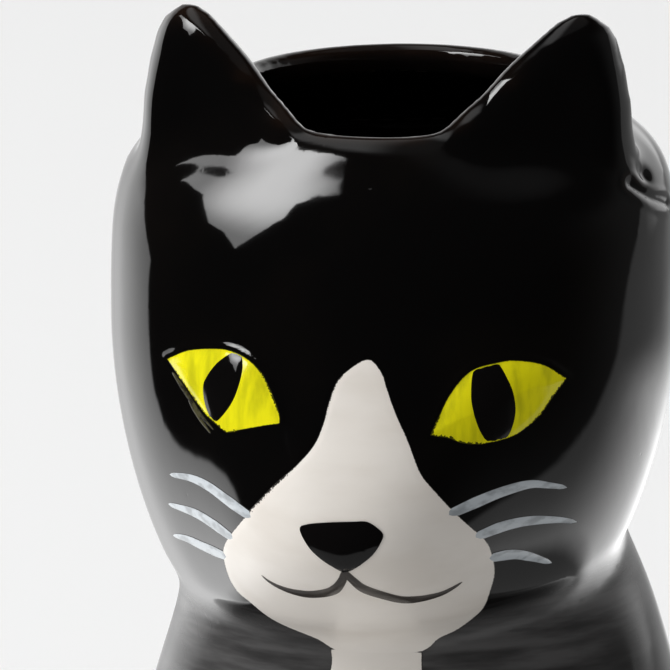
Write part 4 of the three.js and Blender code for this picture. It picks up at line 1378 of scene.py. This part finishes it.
# %% Clay under the foot
CLAY, PALE_CLAY = (0.52, 0.44, 0.35, 1), (0.66, 0.58, 0.48, 1)
FOOT_HEIGHT = 0.35
bare_clay = clouded(*glaze("bare_clay", 0.6, 900, 300, 0.5, 0.5), CLAY, PALE_CLAY)
print("clay:", bare_clay.name)

# %% Dress the pieces


def dress(piece, material, slot, *stands_for):
    """Gives a piece its finish, smooth shading and its body, and hides the solids it stands for."""
    piece.data.materials.clear()
    piece.data.materials.append(material)
    take_up(piece)
    bpy.ops.object.shade_smooth_by_angle(angle=math.radians(50))
    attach(piece, "root")
    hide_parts(*(stands_for or [piece.name.rsplit("_", 1)[0]]))


dress(head, black_glaze, "black_glaze", "head_shell", "left_ear", "right_ear")
dress(body, black_glaze, "black_glaze", "body_shell", "left_foreleg", "right_foreleg", "tail")
body.data.materials.append(bare_clay)
for face in body.data.polygons:
    face.material_index = int(face.center.z < FOOT_HEIGHT * MM and face.normal.z < -0.9)
for piece in (muzzle, bib, *paws):
    dress(piece, white_glaze, "white_glaze")
for piece in (nose, left_pupil, right_pupil):
    dress(piece, nose_glaze, "nose_glaze")
for piece in (left_iris, right_iris):
    dress(piece, yellow_enamel, "yellow_enamel")
for piece in whiskers:
    dress(piece, grey_enamel, "grey_enamel")
dress(mouth, charcoal_enamel, "charcoal_enamel")
dress(smears, olive_smear, "yellow_enamel", "right_iris")

# %% [markdown]
# ## Light
# A glossy black vase shows its surroundings more than itself. White walls behind and beside it draw the
# pale edges, and a dark room in front keeps the face black. Real walls round the vase would need many
# lamps, so the room is drawn in the world's nodes by direction: one colour for what the glaze mirrors, an
# even light for matt faces, and a plain backdrop for the camera.

# %% The room
DARK, DEEP_GREY, BACKDROP = (0.012, 0.012, 0.012, 1), (0.3, 0.3, 0.3, 1), (0.88, 0.88, 0.88, 1)
SOFT_LEVEL, SOFT_LEAN = 0.79, (-0.6, 0.22, 0)  # light on matt faces, and where it is stronger
world = bpy.data.worlds.new("room")
bpy.context.scene.world = world
world.use_nodes = True
world.cycles.sampling_method = "NONE"
room_nodes, room_links = world.node_tree.nodes, world.node_tree.links
towards = room_nodes.new("ShaderNodeTexCoord").outputs["Generated"]
split = room_nodes.new("ShaderNodeSeparateXYZ")
room_links.new(towards, split.inputs["Vector"])
X, Y, Z = (split.outputs[axis] for axis in "XYZ")


def sum_of(a, b, factor):
    """a plus b times a factor."""
    node = math_node(room_nodes, "MULTIPLY_ADD", factor)
    room_links.new(b, node.inputs[0])
    room_links.new(a, node.inputs[2])
    return node.outputs["Value"]


def over(value, low, high, to_low=0.0, to_high=1.0):
    return ranged(room_nodes, room_links, value, low, high, to_low, to_high)


def product(*parts):
    total = parts[0]
    for part in parts[1:]:
        total = times(room_nodes, room_links, total, part)
    return total


def bounded(value, operation):
    """The part of a value below or above nought."""
    node = math_node(room_nodes, operation, 0)
    room_links.new(value, node.inputs[0])
    return node.outputs["Value"]


def mixed(share, first, second):
    return blend_colours(room_nodes, room_links, share, first, second)


# On the cat's right a pale wall starts at a slanted edge and grows dimmer to the back and upwards.
left_edge = sum_of(sum_of(Y, bounded(Z, "MINIMUM"), 0.4), bounded(Z, "MAXIMUM"), -0.8)
left_level = sum_of(over(Y, 0, 0.4, 1.55, 2.3), over(Y, 0.55, 0.9), -1.35)
left_level = product(left_level, over(Z, 0.2, 0.45, 1, 0.35))
left_room = mixed(over(left_edge, -0.012, 0.012), DARK, left_level)
# On its left a dim wall ends at a slanted edge, with a brighter wall and a bright table behind it.
right_edge = over(sum_of(Y, Z, -0.8), 0.1, 0.18)
wall = product(over(Y, 0.35, 0.8), over(Z, -0.02, 0.1), over(Z, 0.3, 0.6, 1, 0.3))
table = product(over(Y, -0.15, 0.6), over(Z, -0.2, -0.38), over(Z, -0.8, -0.66))
behind_edge = sum_of(sum_of(over(Z, 0.2, 0.5, 0.4, 0.2), wall, 1.1), table, 2.4)
right_level = sum_of(over(Y, -0.6, 0.2, 0.01, 0.11), product(right_edge, behind_edge), 1)
# Above the walls it is dark up to a ceiling that is pale on one side, and the ground is grey.
walls = mixed(over(X, -0.2, 0.2), left_room, right_level)
walls = mixed(over(Z, 0.45, 0.75), walls, DARK)
walls = mixed(over(Z, 0.82, 0.9), walls, over(X, -0.25, 0, 0.85, 0.1))
room = mixed(over(Z, -0.62, -0.7), walls, DEEP_GREY)
lean = room_nodes.new("ShaderNodeVectorMath")
lean.operation = "DOT_PRODUCT"
lean.inputs[1].default_value = SOFT_LEAN
room_links.new(towards, lean.inputs[0])
soft = math_node(room_nodes, "ADD", SOFT_LEVEL)
room_links.new(lean.outputs["Value"], soft.inputs[0])
path = room_nodes.new("ShaderNodeLightPath")
room = mixed(path.outputs["Is Diffuse Ray"], room, soft.outputs["Value"])
room = mixed(path.outputs["Is Camera Ray"], room, BACKDROP)
room_links.new(room, room_nodes["Background"].inputs["Color"])
print("world nodes:", len(room_nodes))

# %% [markdown]
# ## Soft box and floor
# One soft box over the cat's right shoulder draws the broken highlight on the brow and lights the white
# muzzle from that side. A lamp can't have such a ragged outline, so the box that is mirrored is a glowing
# field, brighter in its middle, and a plain disk lamp in the same place gives the light and the shadow.

# %% The soft box
BOX_DISTANCE, BOX_RADIANCE = 4.0, 12
BOX_AIM, BOX_TOWARDS = Vector((0, 0, 0.17)), Vector((-0.62, -0.33, 0.7)).normalized()
BOX_OUTLINE = [(0.38, 0.21), (0.28, 0.14), (0.21, 0.07), (0.24, -0.01), (0.23, -0.17), (0.17, -0.39),
               (0.08, -0.3), (-0.03, -0.28), (-0.23, -0.05), (-0.47, -0.01), (-0.51, -0.03), (-0.46, 0.06),
               (-0.29, 0.06), (0, 0.1)]
BOX_MIDDLE, BOX_CORE, BOX_REACH, BOX_DIM = (0.05, 0.09), 0.05, 0.4, 0.25
box_level = Vector((0, 0, 1)).cross(BOX_TOWARDS).normalized()
box_up = BOX_TOWARDS.cross(box_level)
box_turn = Matrix((box_level, box_up, BOX_TOWARDS)).transposed().to_4x4()
box_place = Matrix.Translation(BOX_AIM + BOX_DISTANCE * BOX_TOWARDS) @ box_turn


def in_box(u, v):
    """A place in the field of the soft box, in shares of its distance."""
    return box_place @ Vector((u * BOX_DISTANCE, v * BOX_DISTANCE, 0))


let_go()
bpy.ops.mesh.primitive_circle_add(vertices=len(BOX_OUTLINE), radius=1, fill_type="NGON")
soft_box = bpy.context.object
soft_box.name = "soft_box"
for vertex, spot in zip(soft_box.data.vertices, BOX_OUTLINE):
    vertex.co = in_box(*spot)
glow = bpy.data.materials.new("soft_box_glow")
glow.use_nodes = True
nodes, links = glow.node_tree.nodes, glow.node_tree.links
lamp = nodes["Principled BSDF"]
lamp.inputs["Base Color"].default_value = (0, 0, 0, 1)
lamp.inputs["Emission Strength"].default_value = BOX_RADIANCE
away = nodes.new("ShaderNodeVectorMath")
away.operation = "DISTANCE"
away.inputs[1].default_value = in_box(*BOX_MIDDLE)
links.new(nodes.new("ShaderNodeTexCoord").outputs["Object"], away.inputs[0])
core, edge = BOX_CORE * BOX_DISTANCE, BOX_REACH * BOX_DISTANCE
fall_off = ranged(nodes, links, away.outputs["Value"], core, edge, 1, BOX_DIM)
links.new(fall_off, lamp.inputs["Emission Color"])
soft_box.data.materials.append(glow)
print("soft box corners:", len(BOX_OUTLINE))

# %% The lamp and the floor
KEY_POWER, KEY_SIZE = 45, 1.6
FLOOR_RADIUS, FLOOR_COLOUR = 6, (0.84, 0.84, 0.84, 1)
key_data = bpy.data.lights.new("key", "AREA")
key_data.shape = "DISK"
key_data.size = KEY_SIZE
key_data.energy = KEY_POWER
key = bpy.data.objects.new("key", key_data)
bpy.context.scene.collection.objects.link(key)
key.matrix_world = box_place
key.visible_glossy = False
let_go()
bpy.ops.mesh.primitive_circle_add(vertices=128, radius=FLOOR_RADIUS, fill_type="NGON")
floor = bpy.context.object
floor.name = "floor"
floor.visible_glossy = False
floor.visible_diffuse = False
pale = bpy.data.materials.new("pale_floor")
pale.use_nodes = True
matt = pale.node_tree.nodes["Principled BSDF"].inputs
matt["Base Color"].default_value = FLOOR_COLOUR
matt["Roughness"].default_value = 1
matt["Specular IOR Level"].default_value = 0
floor.data.materials.append(pale)
bpy.context.scene.view_settings.view_transform = "Standard"
print("key light:", key_data.energy, "W")

# %% [markdown]
# ## Camera
# The photograph was taken from a little above and from the cat's left, with a long lens that hardly
# narrows what lies behind. The camera is turned by three angles and moved sideways until the vase sits in
# the picture as it does there, because tracking an object would not give the slight roll.

# %% Set the camera
AZIMUTH, ELEVATION, ROLL = math.radians(11.5), math.radians(14), math.radians(0.8)
DISTANCE, FOCAL_PIXELS, IMAGE_PIXELS, SENSOR = 1100, 6600, 670, 36
AIM_HEIGHT, AIM_LEFT, AIM_UP = 150, 10.5, 3.83
level = Vector((math.cos(AZIMUTH), math.sin(AZIMUTH), 0))
ahead = Vector((math.sin(AZIMUTH), -math.cos(AZIMUTH), 0))
back = ahead * math.cos(ELEVATION) + Vector((0, 0, math.sin(ELEVATION)))
upright = back.cross(level)
right = level * math.cos(ROLL) - upright * math.sin(ROLL)
up = upright * math.cos(ROLL) + level * math.sin(ROLL)
aim = Vector((0, 0, AIM_HEIGHT)) - AIM_LEFT * right + AIM_UP * up
camera_data = bpy.data.cameras.new("camera")
camera_data.sensor_width = SENSOR
camera_data.lens = FOCAL_PIXELS / IMAGE_PIXELS * SENSOR
camera = bpy.data.objects.new("camera", camera_data)
bpy.context.scene.collection.objects.link(camera)
turned_to = Matrix((right, up, back)).transposed().to_4x4()
camera.matrix_world = Matrix.Translation((aim + DISTANCE * back) * MM) @ turned_to
bpy.context.scene.camera = camera
print("lens:", round(camera_data.lens, 1), "mm")
